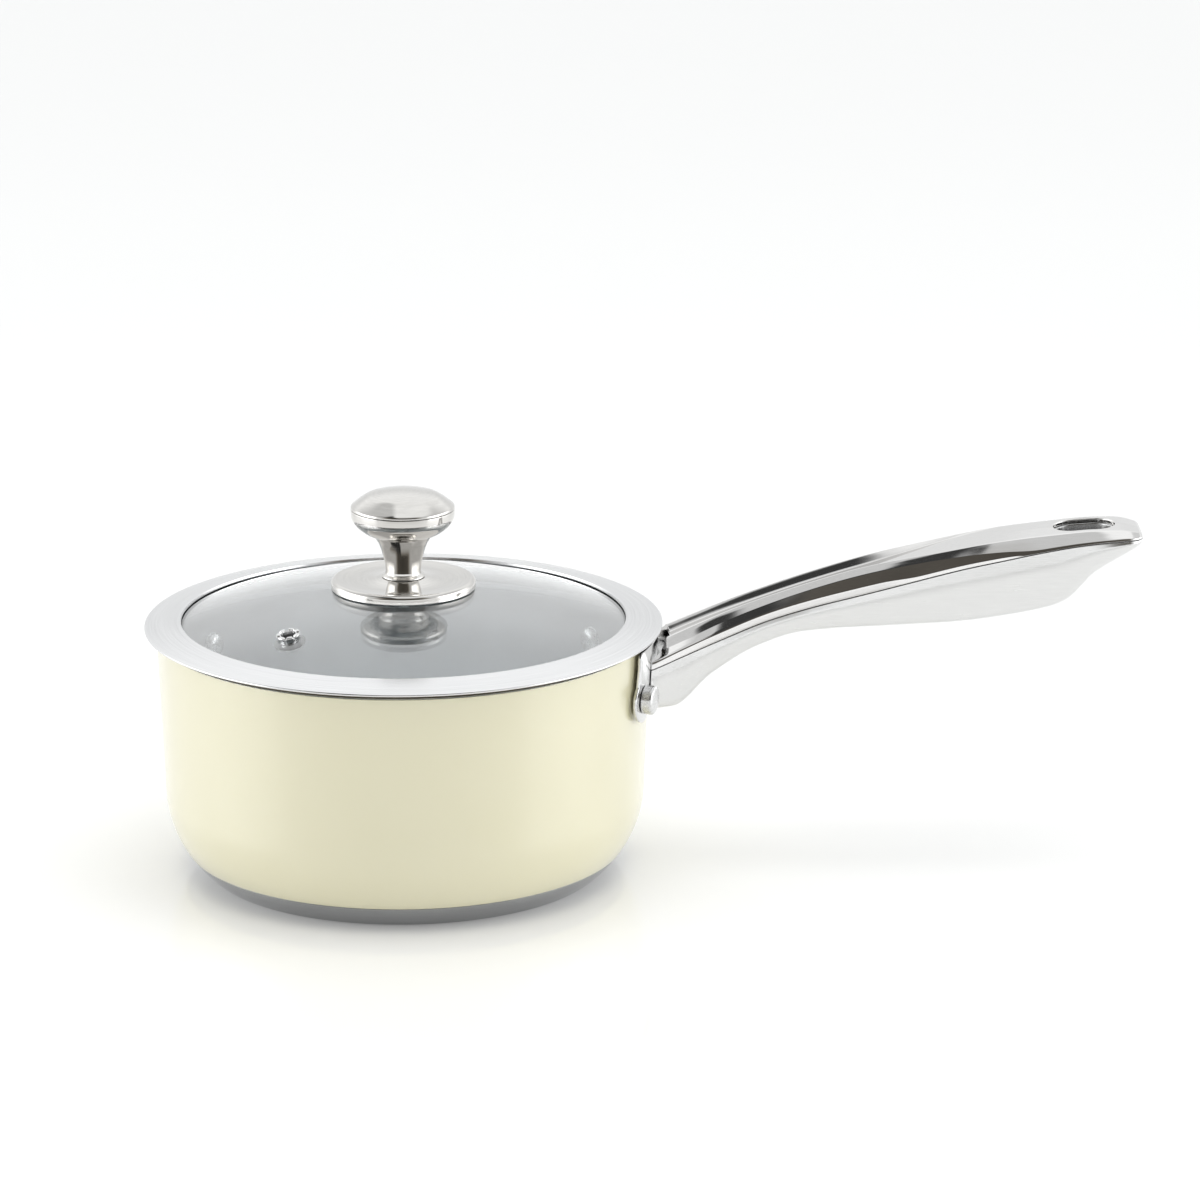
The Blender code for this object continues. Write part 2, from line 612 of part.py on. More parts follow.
def knob_cap(look):
    """Domed head that closes the grip: a broad crown, a steeper shoulder and a tight edge."""
    edge = KNOB_BAND_TOP + SKIN_GAP
    outer = [(KNOB_RADIUS, edge), (KNOB_RADIUS, edge + 0.3), (19.0, edge + 1.1), (16.6, edge + 3.2),
             (13.5, edge + 5.0), (8.0, KNOB_APEX - 0.65), (0.0, KNOB_APEX)]
    inner = [(0.0, KNOB_APEX - KNOB_SHEET), (8.0, KNOB_APEX - 1.6), (13.0, edge + 4.1),
             (15.9, edge + 2.5), (18.1, edge + 0.5), (18.5, edge)]
    return turned("knob_cap", outer + inner, look, FACETS_KNOB)


def ring(name, inner_radius, outer_radius, low, high, look, sweep=360.0):
    section = [(inner_radius, low), (outer_radius, low), (outer_radius, high), (inner_radius, high)]
    return turned(name, section, look, FACETS_SMALL, sweep=sweep)


def knob_fixings(steel, silicone):
    """The threaded insert in the neck and everything on the screw, down to its head."""
    under = glass_top(0.0) - GLASS_THICKNESS
    disc_under = KNOB_DISC_HEIGHT - 0.35
    insert_foot = disc_under + 0.7 + SKIN_GAP
    ring("knob_insert", SCREW_RADIUS + GAP, INSERT_RADIUS, insert_foot, insert_foot + 10.0, steel)
    ring("knob_seal_top", 2.6, 8.5, glass_top(0.0) + SKIN_GAP, disc_under - SKIN_GAP, silicone)
    ring("knob_seal_bottom", 2.6, 9.0, under - 1.5, under - GAP, silicone)
    ring("knob_washer", 2.4, 8.0, under - 2.6, under - 1.8, steel)
    ring("knob_lock_washer", 2.4, 4.6, under - 3.9, under - 2.9, steel, sweep=360.0 * 15 / 16)
    head_top = under - 4.2
    head = [(0.0, head_top - 2.6), (3.6, head_top - 2.3), (4.9, head_top - 0.9), (4.9, head_top)]
    shank = [(SCREW_RADIUS, head_top), (SCREW_RADIUS, insert_foot + 8.0), (0.0, insert_foot + 8.8)]
    screw = turned("knob_screw", head + shank, steel, FACETS_SMALL)
    for number, (across, along) in enumerate(((0.45, 2.8), (2.8, 0.45))):
        outline = [(-across, -along), (across, -along), (across, along), (-across, along)]
        cut(screw, as_cutter(prism(f"drive_slot_{number}", outline, head_top - 4.0, head_top - 1.2)))


# ------------------------------------------------------------------------ main

def main():
    for old in list(bpy.data.objects):
        bpy.data.objects.remove(old, do_unlink=True)

    brushed = material("brushed_steel", (0.62, 0.63, 0.64), 1.0, 0.32)
    polished = material("polished_steel", (0.72, 0.70, 0.68), 1.0, 0.12)
    cream = material("cream_coat", (0.86, 0.83, 0.70), 0.0, 0.28)
    aluminium = material("aluminium", (0.75, 0.75, 0.76), 1.0, 0.45)
    clear = material("glass", (0.86, 0.92, 0.92), 0.0, 0.02, transmission=1.0)
    silicone = material("silicone", (0.10, 0.11, 0.12), 0.0, 0.6)

    drills = [rivet_drill("drill_near", -RIVET_AZIMUTH), rivet_drill("drill_far", RIVET_AZIMUTH)]
    body = pan_body(brushed)
    coat = skin("enamel_coat", SKIN_SPLIT_HEIGHT, None, cream)
    for drill in drills:
        cut(body, drill)
        cut(coat, drill)
    base_core(aluminium)
    base_cap(polished)
    handle_bracket(polished, drills)
    for side, azimuth in (("near", -RIVET_AZIMUTH), ("far", RIVET_AZIMUTH)):
        rivet(f"rivet_{side}", azimuth, brushed)
        rivet_spacer(f"rivet_spacer_{side}", azimuth, polished)
    rest_stud("rest_stud_left", STUD_LEFT_AZIMUTH, brushed)
    rest_stud("rest_stud_right", STUD_RIGHT_AZIMUTH, brushed)
    handle(polished)

    lid_glass(clear)
    lid_rim(polished)
    lid_gasket(silicone)
    vent_eyelet(polished)
    vent_washer(silicone)
    knob_base_disc(polished)
    knob_stem(polished)
    knob_cap(polished)
    knob_fixings(brushed, silicone)


main()
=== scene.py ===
"""Looks for an 18 cm saucepan with a glass lid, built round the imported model.

Lengths are in millimetres in the row frame (origin under the base's centre, +Z up, +X along
the handle) until a mesh is finished in metres. Every piece's mesh is made in place.
"""

import math

import bmesh
import bpy
from mathutils import Matrix, Vector


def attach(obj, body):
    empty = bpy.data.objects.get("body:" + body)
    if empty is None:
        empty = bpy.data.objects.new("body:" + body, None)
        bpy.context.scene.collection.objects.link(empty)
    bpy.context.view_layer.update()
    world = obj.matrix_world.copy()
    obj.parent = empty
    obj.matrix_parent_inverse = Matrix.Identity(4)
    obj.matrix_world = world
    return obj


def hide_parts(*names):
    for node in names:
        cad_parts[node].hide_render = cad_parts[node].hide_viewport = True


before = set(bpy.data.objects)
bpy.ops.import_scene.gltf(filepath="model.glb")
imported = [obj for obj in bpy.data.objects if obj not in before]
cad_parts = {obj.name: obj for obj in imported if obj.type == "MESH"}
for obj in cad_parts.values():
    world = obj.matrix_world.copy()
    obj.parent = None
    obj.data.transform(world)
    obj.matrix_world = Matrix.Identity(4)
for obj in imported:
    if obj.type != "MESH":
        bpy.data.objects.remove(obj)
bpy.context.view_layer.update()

MM = 0.001

# Segments round a full turn, and steps in a rounded edge
TURNS_LARGE = 256
TURNS_KNOB = 160
TURNS_SMALL = 72
EDGE_STEPS = 4
SHARP_TURN = math.radians(24.0)

# Noise: its roughness, and the middle span of its values, which tints and roughness use
NOISE_ROUGHNESS = 0.55
GRAIN_SPAN = (0.3, 0.7)

# Pan
BASE_RADIUS = 74.85
CORNER_RADIUS = 42.35
CORNER_CENTRE_RADIUS = 47.85
CORNER_CENTRE_HEIGHT = math.sqrt(CORNER_RADIUS ** 2 - (BASE_RADIUS - CORNER_CENTRE_RADIUS) ** 2)
CORNER = (CORNER_CENTRE_RADIUS, CORNER_CENTRE_HEIGHT)
WALL_LEAN = math.radians(2.25)
WALL_FOOT = CORNER_CENTRE_HEIGHT - CORNER_RADIUS * math.sin(WALL_LEAN)
WALL_TOP = 91.0
SKIN_THICKNESS = 0.4
SKIN_GAP = 0.2
SKIN_SPLIT_HEIGHT = 8.6
WALL_THICKNESS = 0.8
FLOOR_MIDDLE = 5.6
FLOOR_FILLET = 9.0
LIP_RADIUS = 94.2
LIP_HEIGHT = 92.3
LIP_BEND = 1.2
# Radius past which the pan's steel is painted near-black: painted shade for the gap under the lid's
# ring
SHADED_LIP_FROM = 93.0

# Studs, rivets, spacers and bracket
STUD_LEFT_AZIMUTH = 147.0
STUD_RIGHT_AZIMUTH = 39.0
STUD_HEIGHT = 71.0
STUD_RADIUS = 5.0
STUD_DOME = 3.0
STUD_BACK_RADIUS = 89.6
RIVET_AZIMUTH = 18.0
RIVET_HEIGHT = 72.5
RIVET_SHANK = 2.5
RIVET_BORE = 2.8
RIVET_HEAD = 5.4
RIVET_HEAD_HEIGHT = 4.4
RIVET_INNER_HEAD = 5.6
SPACER_RADIUS = 6.5
PLATE_STANDOFF = 1.4
PLATE_THICKNESS = 1.4
PLATE_TOP = 91.3
PLATE_BOTTOM = 66.0
PLATE_HALF_WIDTH = 34.0
EAR_RADIUS = 9.0

# Handle
SHEET = 1.2
SEAM_GAP = 0.3
ROOT_CLEARANCE = PLATE_STANDOFF + PLATE_THICKNESS + 0.3
SCALLOP_CENTRE = 65.8
SCALLOP_RADIUS = 33.8
HOLE_CENTRE = 253.9
HOLE_HALF_LENGTH = 11.4
HOLE_HALF_WIDTH = 8.0
HOLE_ROUNDING = 0.5
SLEEVE_WALL = 0.8
HANDLE_START = 86.0
HANDLE_END = 275.0
ROOT_SOLID = 112.0
ROOT_END = 125.0
FILL_FROM = 262.0
FILL_TO = 266.5

# Handle guide curves: distance from the pan's axis, then the value there
CREST_CURVE = [(86, 86.0), (97, 90.2), (107, 94.7), (118, 99.4), (130, 104.0), (152, 111.6),
               (174, 118.1), (196, 122.9), (219, 127.4), (241, 130.3), (258, 131.9), (266, 132.0),
               (275, 130.6)]
CREST_WIDTH_CURVE = [(86, 8.8), (107, 8.2), (130, 7.4), (163, 7.6), (185, 8.8), (208, 10.4),
                     (223, 10.8), (262, 10.8), (270, 10.2), (275, 8.0)]
MIDDLE_CURVE = [(86, -2.8), (170, -2.8), (188, -1.9), (204, -0.9), (220, -0.1), (236, 0.5),
                (262, 0.5), (275, 0.2)]
SEAM_CURVE = [(86, 79.5), (97, 83.0), (115, 89.6), (135, 97.8), (152, 103.2), (170, 107.9),
              (185, 111.9), (208, 118.2), (223, 121.5), (238, 124.7), (253, 127.3), (264, 128.5),
              (275, 129.0)]
BOTTOM_CURVE = [(86, 65.0), (100.5, 65.0), (115, 76.6), (132, 87.4), (150, 93.1), (186, 95.2),
                (208, 96.7), (226, 99.2), (241, 102.4), (247, 105.0), (257, 115.6), (266, 122.0),
                (275, 127.2)]
HALF_WIDTH_CURVE = [(86, 23.0), (93, 22.0), (104, 18.0), (118, 14.4), (140, 13.2), (185, 13.7),
                    (208, 14.6), (262, 14.4), (270, 13.4), (275, 10.6)]
FACET_ACROSS_CURVE = [(86, 0.5), (107, 0.5), (163, 0.58), (193, 0.56), (208, 0.56), (223, 0.68),
                      (238, 0.88), (275, 0.88)]
FACET_DROP_CURVE = [(86, 0.42), (107, 0.42), (118, 0.36), (130, 0.32), (163, 0.24), (193, 0.28),
                    (208, 0.38), (223, 0.54), (238, 0.8), (253, 0.8), (275, 0.7)]
SIDE_DROP_CURVE = [(86, 0.6), (107, 0.63), (118, 0.66), (135, 0.65), (163, 0.68), (178, 0.7),
                   (193, 0.82), (208, 0.8), (223, 0.82), (238, 0.95), (275, 0.95)]

# Lid: ring, glass and vent
RING_BEAD_HEIGHT = 93.85
RING_BEAD_CENTRE = 96.5
RING_BEAD_RADIUS = 0.25
RING_INNER_RADIUS = 83.6
RING_INNER_TOP = 96.5
RING_SHEET = 0.45
GLASS_RADIUS = 86.9
GLASS_APEX = 108.8
GLASS_DOME_RADIUS = 257.0
GLASS_THICKNESS = 4.0
GLASS_KNOB_HOLE = 3.3
VENT_AZIMUTH = 229.0
VENT_DISTANCE = 61.5
VENT_HOLE = 3.5
VENT_TUBE = 3.2
VENT_PETALS = 7

# Knob
KNOB_DISC_RADIUS = 26.7
KNOB_DISC_HEIGHT = 111.3
KNOB_DISC_SHEET = 0.7
KNOB_WAIST_RADIUS = 6.6
KNOB_NECK_RADIUS = 10.8
KNOB_NECK_TOP = 127.5
KNOB_RADIUS = 19.4
KNOB_BAND_BOTTOM = 135.3
KNOB_BAND_TOP = 137.9
KNOB_APEX = 145.0
KNOB_CROWN_RADIUS = 50.0
KNOB_CROWN_REACH = 13.5
KNOB_SHOULDER_RADIUS = 38.0
KNOB_SHOULDER_FROM = 50.0
KNOB_SHOULDER_TO = 60.0
KNOB_EDGE_ROUNDING = 1.2
KNOB_SHEET = 0.9
INSERT_RADIUS = 4.2
SCREW_RADIUS = 2.0


# --- plane geometry

def arc(centre, radius, start, end, steps):
    """Points on an arc in a plane, angles in degrees."""
    points = []
    for i in range(steps + 1):
        angle = math.radians(start + (end - start) * i / steps)
        points.append((centre[0] + radius * math.cos(angle), centre[1] + radius * math.sin(angle)))
    return points


def bend(before, here, after, radius, steps):
    """The points that round one corner, from one side's tangent point to the other's."""
    into = here - before
    out = after - here
    turn = into.angle(out, 0.0)
    reach = min(radius * math.tan(turn / 2), into.length * 0.45, out.length * 0.45)
    start = here - into.normalized() * reach
    end = here + out.normalized() * reach
    points = []
    for i in range(steps + 1):
        t = i / steps
        points.append(start * (1 - t) ** 2 + here * 2 * t * (1 - t) + end * t * t)
    return points


def rounded(outline, radius):
    """A closed outline with its sharp corners rounded; a point on the axis stays."""
    result = []
    count = len(outline)
    for i, point in enumerate(outline):
        before, here, after = (Vector(outline[j % count]) for j in (i - 1, i, i + 1))
        if here.x < 1e-6 or (here - before).angle(after - here, 0.0) < SHARP_TURN:
            result.append(tuple(here))
            continue
        curve = bend(before, here, after, radius, EDGE_STEPS)
        lead = min(radius * 0.5, (here - before).length * 0.04)
        trail = min(radius * 0.5, (after - here).length * 0.04)
        result.append(tuple(curve[0] - (here - before).normalized() * lead))
        result += [tuple(p) for p in curve]
        result.append(tuple(curve[-1] + (after - here).normalized() * trail))
    return result


def eased(points, radii, runs, steps):
    """An open line whose inner corners are rounded, always with the same number of points."""
    line = [Vector(p) for p in points]
    pieces = [[line[0]]]
    for i in range(1, len(line) - 1):
        pieces.append(bend(line[i - 1], line[i], line[i + 1], radii[i - 1], steps))
    pieces.append([line[-1]])
    result = []
    for piece, following, run in zip(pieces, pieces[1:], runs):
        result += piece
        for k in range(1, run):
            result.append(piece[-1].lerp(following[0], k / run))
    result += pieces[-1]
    return [(p.x, p.y) for p in result]


def band(path, thickness):
    """The closed outline of a sheet of this thickness along an open path in a plane."""
    left = []
    right = []
    for i, point in enumerate(path):
        before = Vector(path[max(i - 1, 0)])
        here = Vector(point)
        after = Vector(path[min(i + 1, len(path) - 1)])
        directions = [d.normalized() for d in (here - before, after - here) if d.length > 1e-6]
        mean = sum(directions, Vector((0.0, 0.0))).normalized()
        normal = Vector((-mean.y, mean.x))
        reach = thickness / 2 / max(mean.dot(directions[0]), 0.5)
        left.append(tuple(here + normal * reach))
        right.append(tuple(here - normal * reach))
    return left + right[::-1]


def smooth_curve(points):
    """A smooth function through the points, level or straight where they are."""
    slopes = [(b[1] - a[1]) / (b[0] - a[0]) for a, b in zip(points, points[1:])]
    tangents = [slopes[0]]
    for before, after in zip(slopes, slopes[1:]):
        tangents.append(2 * before * after / (before + after) if before * after > 0 else 0.0)
    tangents.append(slopes[-1])

    def value(x):
        x = min(max(x, points[0][0]), points[-1][0])
        i = next(k for k in range(len(slopes)) if x <= points[k + 1][0])
        (x0, y0), (x1, y1) = points[i], points[i + 1]
        width = x1 - x0
        t = (x - x0) / width
        return (y0 * (1 + 2 * t) * (1 - t) ** 2 + y1 * t * t * (3 - 2 * t)
                + width * (tangents[i] * t * (1 - t) ** 2 - tangents[i + 1] * t * t * (1 - t)))

    return value


def ramp(value, low, high):
    """0 below low, 1 above high and smooth between."""
    t = min(max((value - low) / (high - low), 0.0), 1.0)
    return t * t * (3 - 2 * t)


# --- meshes

def finish(mesh_data, name, look, matrix=None, sharp=None):
    """Turn a bmesh in millimetres into a named object in metres."""
    if matrix is not None:
        bmesh.ops.transform(mesh_data, matrix=matrix, verts=mesh_data.verts)
    bmesh.ops.recalc_face_normals(mesh_data, faces=mesh_data.faces)
    bmesh.ops.scale(mesh_data, vec=(MM, MM, MM), verts=mesh_data.verts)
    mesh = bpy.data.meshes.new(name)
    mesh_data.to_mesh(mesh)
    mesh_data.free()
    mesh.shade_smooth()
    if sharp is not None:
        mesh.set_sharp_from_angle(angle=math.radians(sharp))
    made = bpy.data.objects.new(name, mesh)
    if look is not None:
        mesh.materials.append(look)
    bpy.context.scene.collection.objects.link(made)
    return made


def spun(name, section_at, look, turns=TURNS_LARGE, sweep=360.0, matrix=None, sharp=None):
    """Turn a closed (radius, height) section, which may change with the angle, about Z."""
    mesh_data = bmesh.new()
    whole = sweep >= 360.0
    steps = round(turns * sweep / 360.0)
    rings = []
    for i in range(steps if whole else steps + 1):
        angle = math.radians(sweep * i / steps)
        rings.append([(r * math.cos(angle), r * math.sin(angle), h, r) for r, h in section_at(angle)])
    poles = {}
    columns = []
    for ring in rings:
        column = []
        for j, (x, y, h, r) in enumerate(ring):
            if r < 1e-6:
                if j not in poles:
                    poles[j] = mesh_data.verts.new((0.0, 0.0, h))
                column.append(poles[j])
            else:
                column.append(mesh_data.verts.new((x, y, h)))
        columns.append(column)
    count = len(columns[0])
    for a, b in zip(columns, columns[1:] + columns[:1] if whole else columns[1:]):
        for j in range(count):
            k = (j + 1) % count
            corners = list(dict.fromkeys((a[j], b[j], b[k], a[k])))
            if len(corners) > 2:
                mesh_data.faces.new(corners)
    if not whole:
        mesh_data.faces.new(columns[0])
        mesh_data.faces.new(columns[-1])
    return finish(mesh_data, name, look, matrix, sharp)


def turned(name, section, look, turns=TURNS_LARGE, matrix=None, sharp=None):
    """Turn one closed (radius, height) section about Z."""
    return spun(name, lambda angle: section, look, turns, matrix=matrix, sharp=sharp)


def prism(name, outline, low, high):
    """A cutting tool: a closed (x, y) outline extruded from one height to another."""
    mesh_data = bmesh.new()
    verts = [mesh_data.verts.new((x, y, low)) for x, y in outline]
    bottom = mesh_data.faces.new(verts)
    top = bmesh.ops.extrude_face_region(mesh_data, geom=[bottom])["geom"]
    lifted = [item for item in top if isinstance(item, bmesh.types.BMVert)]
    bmesh.ops.translate(mesh_data, vec=(0.0, 0.0, high - low), verts=lifted)
    return finish(mesh_data, name, None)


def lofted(name, sections, look, closed=False):
    """Join (x, y, z) sections of equal length, with flat ends or round to the first again."""
    mesh_data = bmesh.new()
    rings = [[mesh_data.verts.new(point) for point in section] for section in sections]
    count = len(rings[0])
    for a, b in zip(rings, rings[1:] + rings[:1] if closed else rings[1:]):
        for i in range(count):
            j = (i + 1) % count
            mesh_data.faces.new((a[i], a[j], b[j], b[i]))
    if not closed:
        mesh_data.faces.new(rings[0])
        mesh_data.faces.new(rings[-1])
    return finish(mesh_data, name, look)


def carve(target, tools, sharp=30.0):
    """Cut the tools out of the target's mesh for good, and remove them."""
    for tool in tools:
        step = target.modifiers.new(f"cut_{tool.name}", "BOOLEAN")
        step.operation = "DIFFERENCE"
        step.solver = "EXACT"
        step.object = tool
    evaluated = target.evaluated_get(bpy.context.evaluated_depsgraph_get())
    mesh = bpy.data.meshes.new_from_object(evaluated)
    target.modifiers.clear()
    target.data = mesh
    mesh.shade_smooth()
    mesh.set_sharp_from_angle(angle=math.radians(sharp))
    for tool in tools:
        bpy.data.objects.remove(tool, do_unlink=True)


def place(piece, body):
    """A finished piece takes over its CAD node and rides on its body."""
    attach(piece, body)
    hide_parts(piece.name.removesuffix("_look"))


def turned_piece(node, body, look, section, turns=TURNS_LARGE, matrix=None, sharp=None):
    """A turned piece that needs no cutting, placed for its node."""
    place(turned(f"{node}_look", section, LOOKS[look], turns, matrix, sharp), body)


# --- looks

class Tree:
    """Short ways to add nodes to a material or a world."""

    def __init__(self, owner):
        owner.use_nodes = True
        self.nodes = owner.node_tree.nodes
        self.links = owner.node_tree.links

    def node(self, kind, **properties):
        made = self.nodes.new(kind)
        for key, value in properties.items():
            setattr(made, key, value)
        return made

    def maths(self, operation, *values):
        """The output of one Math node; a value is a number or another node's output."""
        made = self.node("ShaderNodeMath", operation=operation)
        for socket, value in zip(made.inputs, values):
            if isinstance(value, (int, float)):
                socket.default_value = value
            else:
                self.links.new(value, socket)
        return made.outputs[0]

    def passage(self, value, span, first, second, interpolation="SMOOTHSTEP"):
        """From first to second as the value goes through the span, and level outside it."""
        made = self.node("ShaderNodeMapRange", interpolation_type=interpolation)
        for socket, number in zip(("From Min", "From Max", "To Min", "To Max"),
                                  (*span, first, second)):
            made.inputs[socket].default_value = number
        self.links.new(value, made.inputs["Value"])
        return made.outputs["Result"]

    def blend(self, first, second, share):
        """The first value where the share is 0 and the second where it is 1."""
        rest = self.maths("SUBTRACT", 1.0, share)
        return self.maths("ADD", self.maths("MULTIPLY", first, rest),
                          self.maths("MULTIPLY", second, share))

    def length(self, x, y):
        return self.maths("SQRT", self.maths("ADD", self.maths("MULTIPLY", x, x),
                                             self.maths("MULTIPLY", y, y)))


class Look(Tree):
    """One Principled material with the nodes that its pattern needs."""

    def __init__(self, name, colour, metallic, roughness, **sockets):
        self.material = bpy.data.materials.new(name)
        super().__init__(self.material)
        self.shader = self.nodes["Principled BSDF"]
        self.shader.inputs["Base Color"].default_value = (*colour, 1.0)
        self.shader.inputs["Metallic"].default_value = metallic
        self.shader.inputs["Roughness"].default_value = roughness
        for socket, value in sockets.items():
            self.shader.inputs[socket.replace("_", " ")].default_value = value

    def axes(self):
        """Place in the row frame, in metres, as x, y and z."""
        where = self.node("ShaderNodeTexCoord")
        split = self.node("ShaderNodeSeparateXYZ")
        self.links.new(where.outputs["Object"], split.inputs[0])
        return split.outputs

    def noise(self, place_values, detail):
        """Noise, 0 to 1, over three coordinates."""
        joined = self.node("ShaderNodeCombineXYZ")
        for socket, value in zip(joined.inputs, place_values):
            self.links.new(value, socket)
        made = self.node("ShaderNodeTexNoise")
        made.inputs["Scale"].default_value = 1.0
        made.inputs["Detail"].default_value = detail
        made.inputs["Roughness"].default_value = NOISE_ROUGHNESS
        self.links.new(joined.outputs[0], made.inputs["Vector"])
        return made.outputs["Fac"]

    def axis_distance(self):
        x, y, z = self.axes()
        return self.length(x, y)

    def ring_grain(self, along, across, detail=3.0):
        """Fine lines that run round the Z axis on walls and flats alike."""
        x, y, z = self.axes()
        radius = self.axis_distance()
        guarded = self.maths("MAXIMUM", radius, 1e-4)
        level = self.maths("ADD", z, radius)
        return self.noise([self.maths("MULTIPLY", self.maths("DIVIDE", x, guarded), along),
                           self.maths("MULTIPLY", self.maths("DIVIDE", y, guarded), along),
                           self.maths("MULTIPLY", level, across)], detail)

    def length_grain(self, along, across):
        """Fine lines that run along the handle."""
        x, y, z = self.axes()
        return self.noise([self.maths("MULTIPLY", x, along), self.maths("MULTIPLY", y, across),
                           self.maths("MULTIPLY", z, across)], 3.0)

    def even_grain(self, scale, detail=3.0):
        """Noise with no direction."""
        return self.noise([self.maths("MULTIPLY", axis, scale) for axis in self.axes()], detail)

    def spread(self, grain, low, high):
        """Roughness between two values by a grain."""
        rough = self.passage(grain, GRAIN_SPAN, low, high, "LINEAR")
        self.links.new(rough, self.shader.inputs["Roughness"])

    def tint(self, grain, first, second):
        """Colour between two tones by a grain."""
        made = self.node("ShaderNodeValToRGB")
        for element, position, tone in zip(made.color_ramp.elements, GRAIN_SPAN, (first, second)):
            element.position = position
            element.color = (*tone, 1.0)
        self.links.new(grain, made.inputs["Fac"])
        self.links.new(made.outputs["Color"], self.shader.inputs["Base Color"])
        return made

    def relief(self, grain, strength, height):
        """Bump of this height in millimetres."""
        made = self.node("ShaderNodeBump")
        made.inputs["Strength"].default_value = strength
        made.inputs["Distance"].default_value = height * MM
        self.links.new(grain, made.inputs["Height"])
        self.links.new(made.outputs["Normal"], self.shader.inputs["Normal"])

    def around_axis(self):
        """Stretch the highlights across grain that runs round the Z axis."""
        made = self.node("ShaderNodeTangent", direction_type="RADIAL", axis="Z")
        self.links.new(made.outputs["Tangent"], self.shader.inputs["Tangent"])

    def buffed(self, grain, colour, tones, roughness, swing, strength, height):
        """Colour, roughness and relief that follow one grain."""
        darker, lighter = (tuple(min(c * tone, 1.0) for c in colour) for tone in tones)
        self.tint(grain, darker, lighter)
        self.spread(grain, roughness * 0.8, roughness * swing)
        self.relief(grain, strength, height)
        return self.material


def pan_steel():
    """Brushed steel with soft streaks from rim to centre, and its outer lip painted near-black as
    painted shade for the shadow gap under the lid's ring.
    """
    look = Look("pan_steel", (0.62, 0.64, 0.66), 1.0, 0.3, Anisotropic=0.45)
    grain = look.ring_grain(6.0, 1600.0)
    streaks = look.ring_grain(3.4, 2.0, 1.0)
    mixed = look.maths("ADD", look.maths("MULTIPLY", grain, 0.1),
                       look.maths("MULTIPLY", streaks, 0.9))
    # Painted shade: past the lip radius the tone ramp runs to near-black, standing in for the shadow
    # gap under the lid's ring
    shaded_lip = look.maths("GREATER_THAN", look.axis_distance(), SHADED_LIP_FROM * MM)
    bright = (0.86, 0.88, 0.89)
    tones = look.tint(look.maths("ADD", mixed, shaded_lip), (0.66, 0.69, 0.71), bright).color_ramp.elements
    tones.new(1.0).color = (0.06, 0.052, 0.045, 1.0)
    tones.new(0.95).color = (*bright, 1.0)
    look.spread(grain, 0.29, 0.33)
    look.around_axis()
    return look.material


def cream_enamel():
    look = Look("cream_enamel", (0.78, 0.74, 0.51), 0.0, 0.3, Coat_Weight=1.0, Coat_Roughness=0.2,
                Coat_IOR=2.1, IOR=1.5)
    cloud = look.even_grain(30.0, 1.0)
    look.tint(cloud, (0.776, 0.736, 0.504), (0.784, 0.744, 0.516))
    look.spread(cloud, 0.28, 0.32)
    look.relief(look.even_grain(700.0, 2.0), 0.08, 0.006)
    return look.material


def turned_steel(name, colour, roughness, grain_height):
    """Bright steel with the faint rings that turning and buffing leave."""
    look = Look(name, colour, 1.0, roughness)
    grain = look.ring_grain(2.5, 2200.0)
    return look.buffed(grain, colour, (0.95, 1.04), roughness, 1.25, 0.1, grain_height)


def handle_steel(name, colour, roughness, grain_height):
    """Steel buffed along the handle."""
    look = Look(name, colour, 1.0, roughness)
    grain = look.length_grain(60.0, 2500.0)
    return look.buffed(grain, colour, (0.96, 1.03), roughness, 1.25, 0.1, grain_height)


def satin_steel(name, colour, roughness):
    """Small tumbled parts: an even fine grain."""
    look = Look(name, colour, 1.0, roughness)
    grain = look.even_grain(1600.0)
    return look.buffed(grain, colour, (0.94, 1.05), roughness, 1.3, 0.15, 0.01)


def clear_glass():
    look = Look("clear_glass", (0.965, 0.985, 0.99), 0.0, 0.0, Transmission_Weight=1.0, IOR=1.5,
                Coat_Weight=1.0, Coat_Roughness=0.0, Coat_IOR=1.6)
    cloud = look.even_grain(25.0, 2.0)
    look.tint(cloud, (0.960, 0.982, 0.988), (0.970, 0.988, 0.992))
    return look.material


def silicone():
    look = Look("silicone", (0.035, 0.04, 0.045), 0.0, 0.45, IOR=1.43)
    grain = look.even_grain(900.0)
    look.tint(grain, (0.03, 0.034, 0.038), (0.045, 0.05, 0.055))
    look.spread(grain, 0.38, 0.55)
    look.relief(grain, 0.2, 0.02)
    return look.material


def mill_aluminium():
    look = Look("core_aluminium", (0.75, 0.75, 0.76), 1.0, 0.42)
    grain = look.even_grain(500.0, 4.0)
    look.tint(grain, (0.70, 0.70, 0.71), (0.78, 0.78, 0.79))
    look.spread(grain, 0.36, 0.5)
    return look.material


LOOKS = {
    "pan_steel": pan_steel(),
    "cream_enamel": cream_enamel(),
    "core_aluminium": mill_aluminium(),
    # Base cap steel darkened to 0.44, well below the other steel, as painted shade for the dark
    # contact shadow its band mirrors
    "base_steel": turned_steel("base_steel", (0.44, 0.445, 0.45), 0.1, 0.0005),
    "ring_steel": turned_steel("ring_steel", (0.74, 0.74, 0.745), 0.17, 0.001),
    "knob_steel": turned_steel("knob_steel", (0.66, 0.645, 0.622), 0.05, 0.0001),
    "bracket_steel": satin_steel("bracket_steel", (0.72, 0.72, 0.72), 0.16),
    "shell_top": handle_steel("handle_polished", (0.74, 0.73, 0.72), 0.07, 0.001),
    "shell_bottom": handle_steel("handle_satin", (0.76, 0.76, 0.755), 0.22, 0.0008),
    # Sleeve steel darkened to 0.40 as painted shade for the inside of the hanging hole
    "sleeve_steel_shaded": satin_steel("sleeve_steel_shaded", (0.40, 0.40, 0.40), 0.22),
    "rivet_steel": satin_steel("rivet_steel", (0.70, 0.70, 0.70), 0.26),
    "clear_glass": clear_glass(),
    "silicone": silicone(),
}


# --- pan

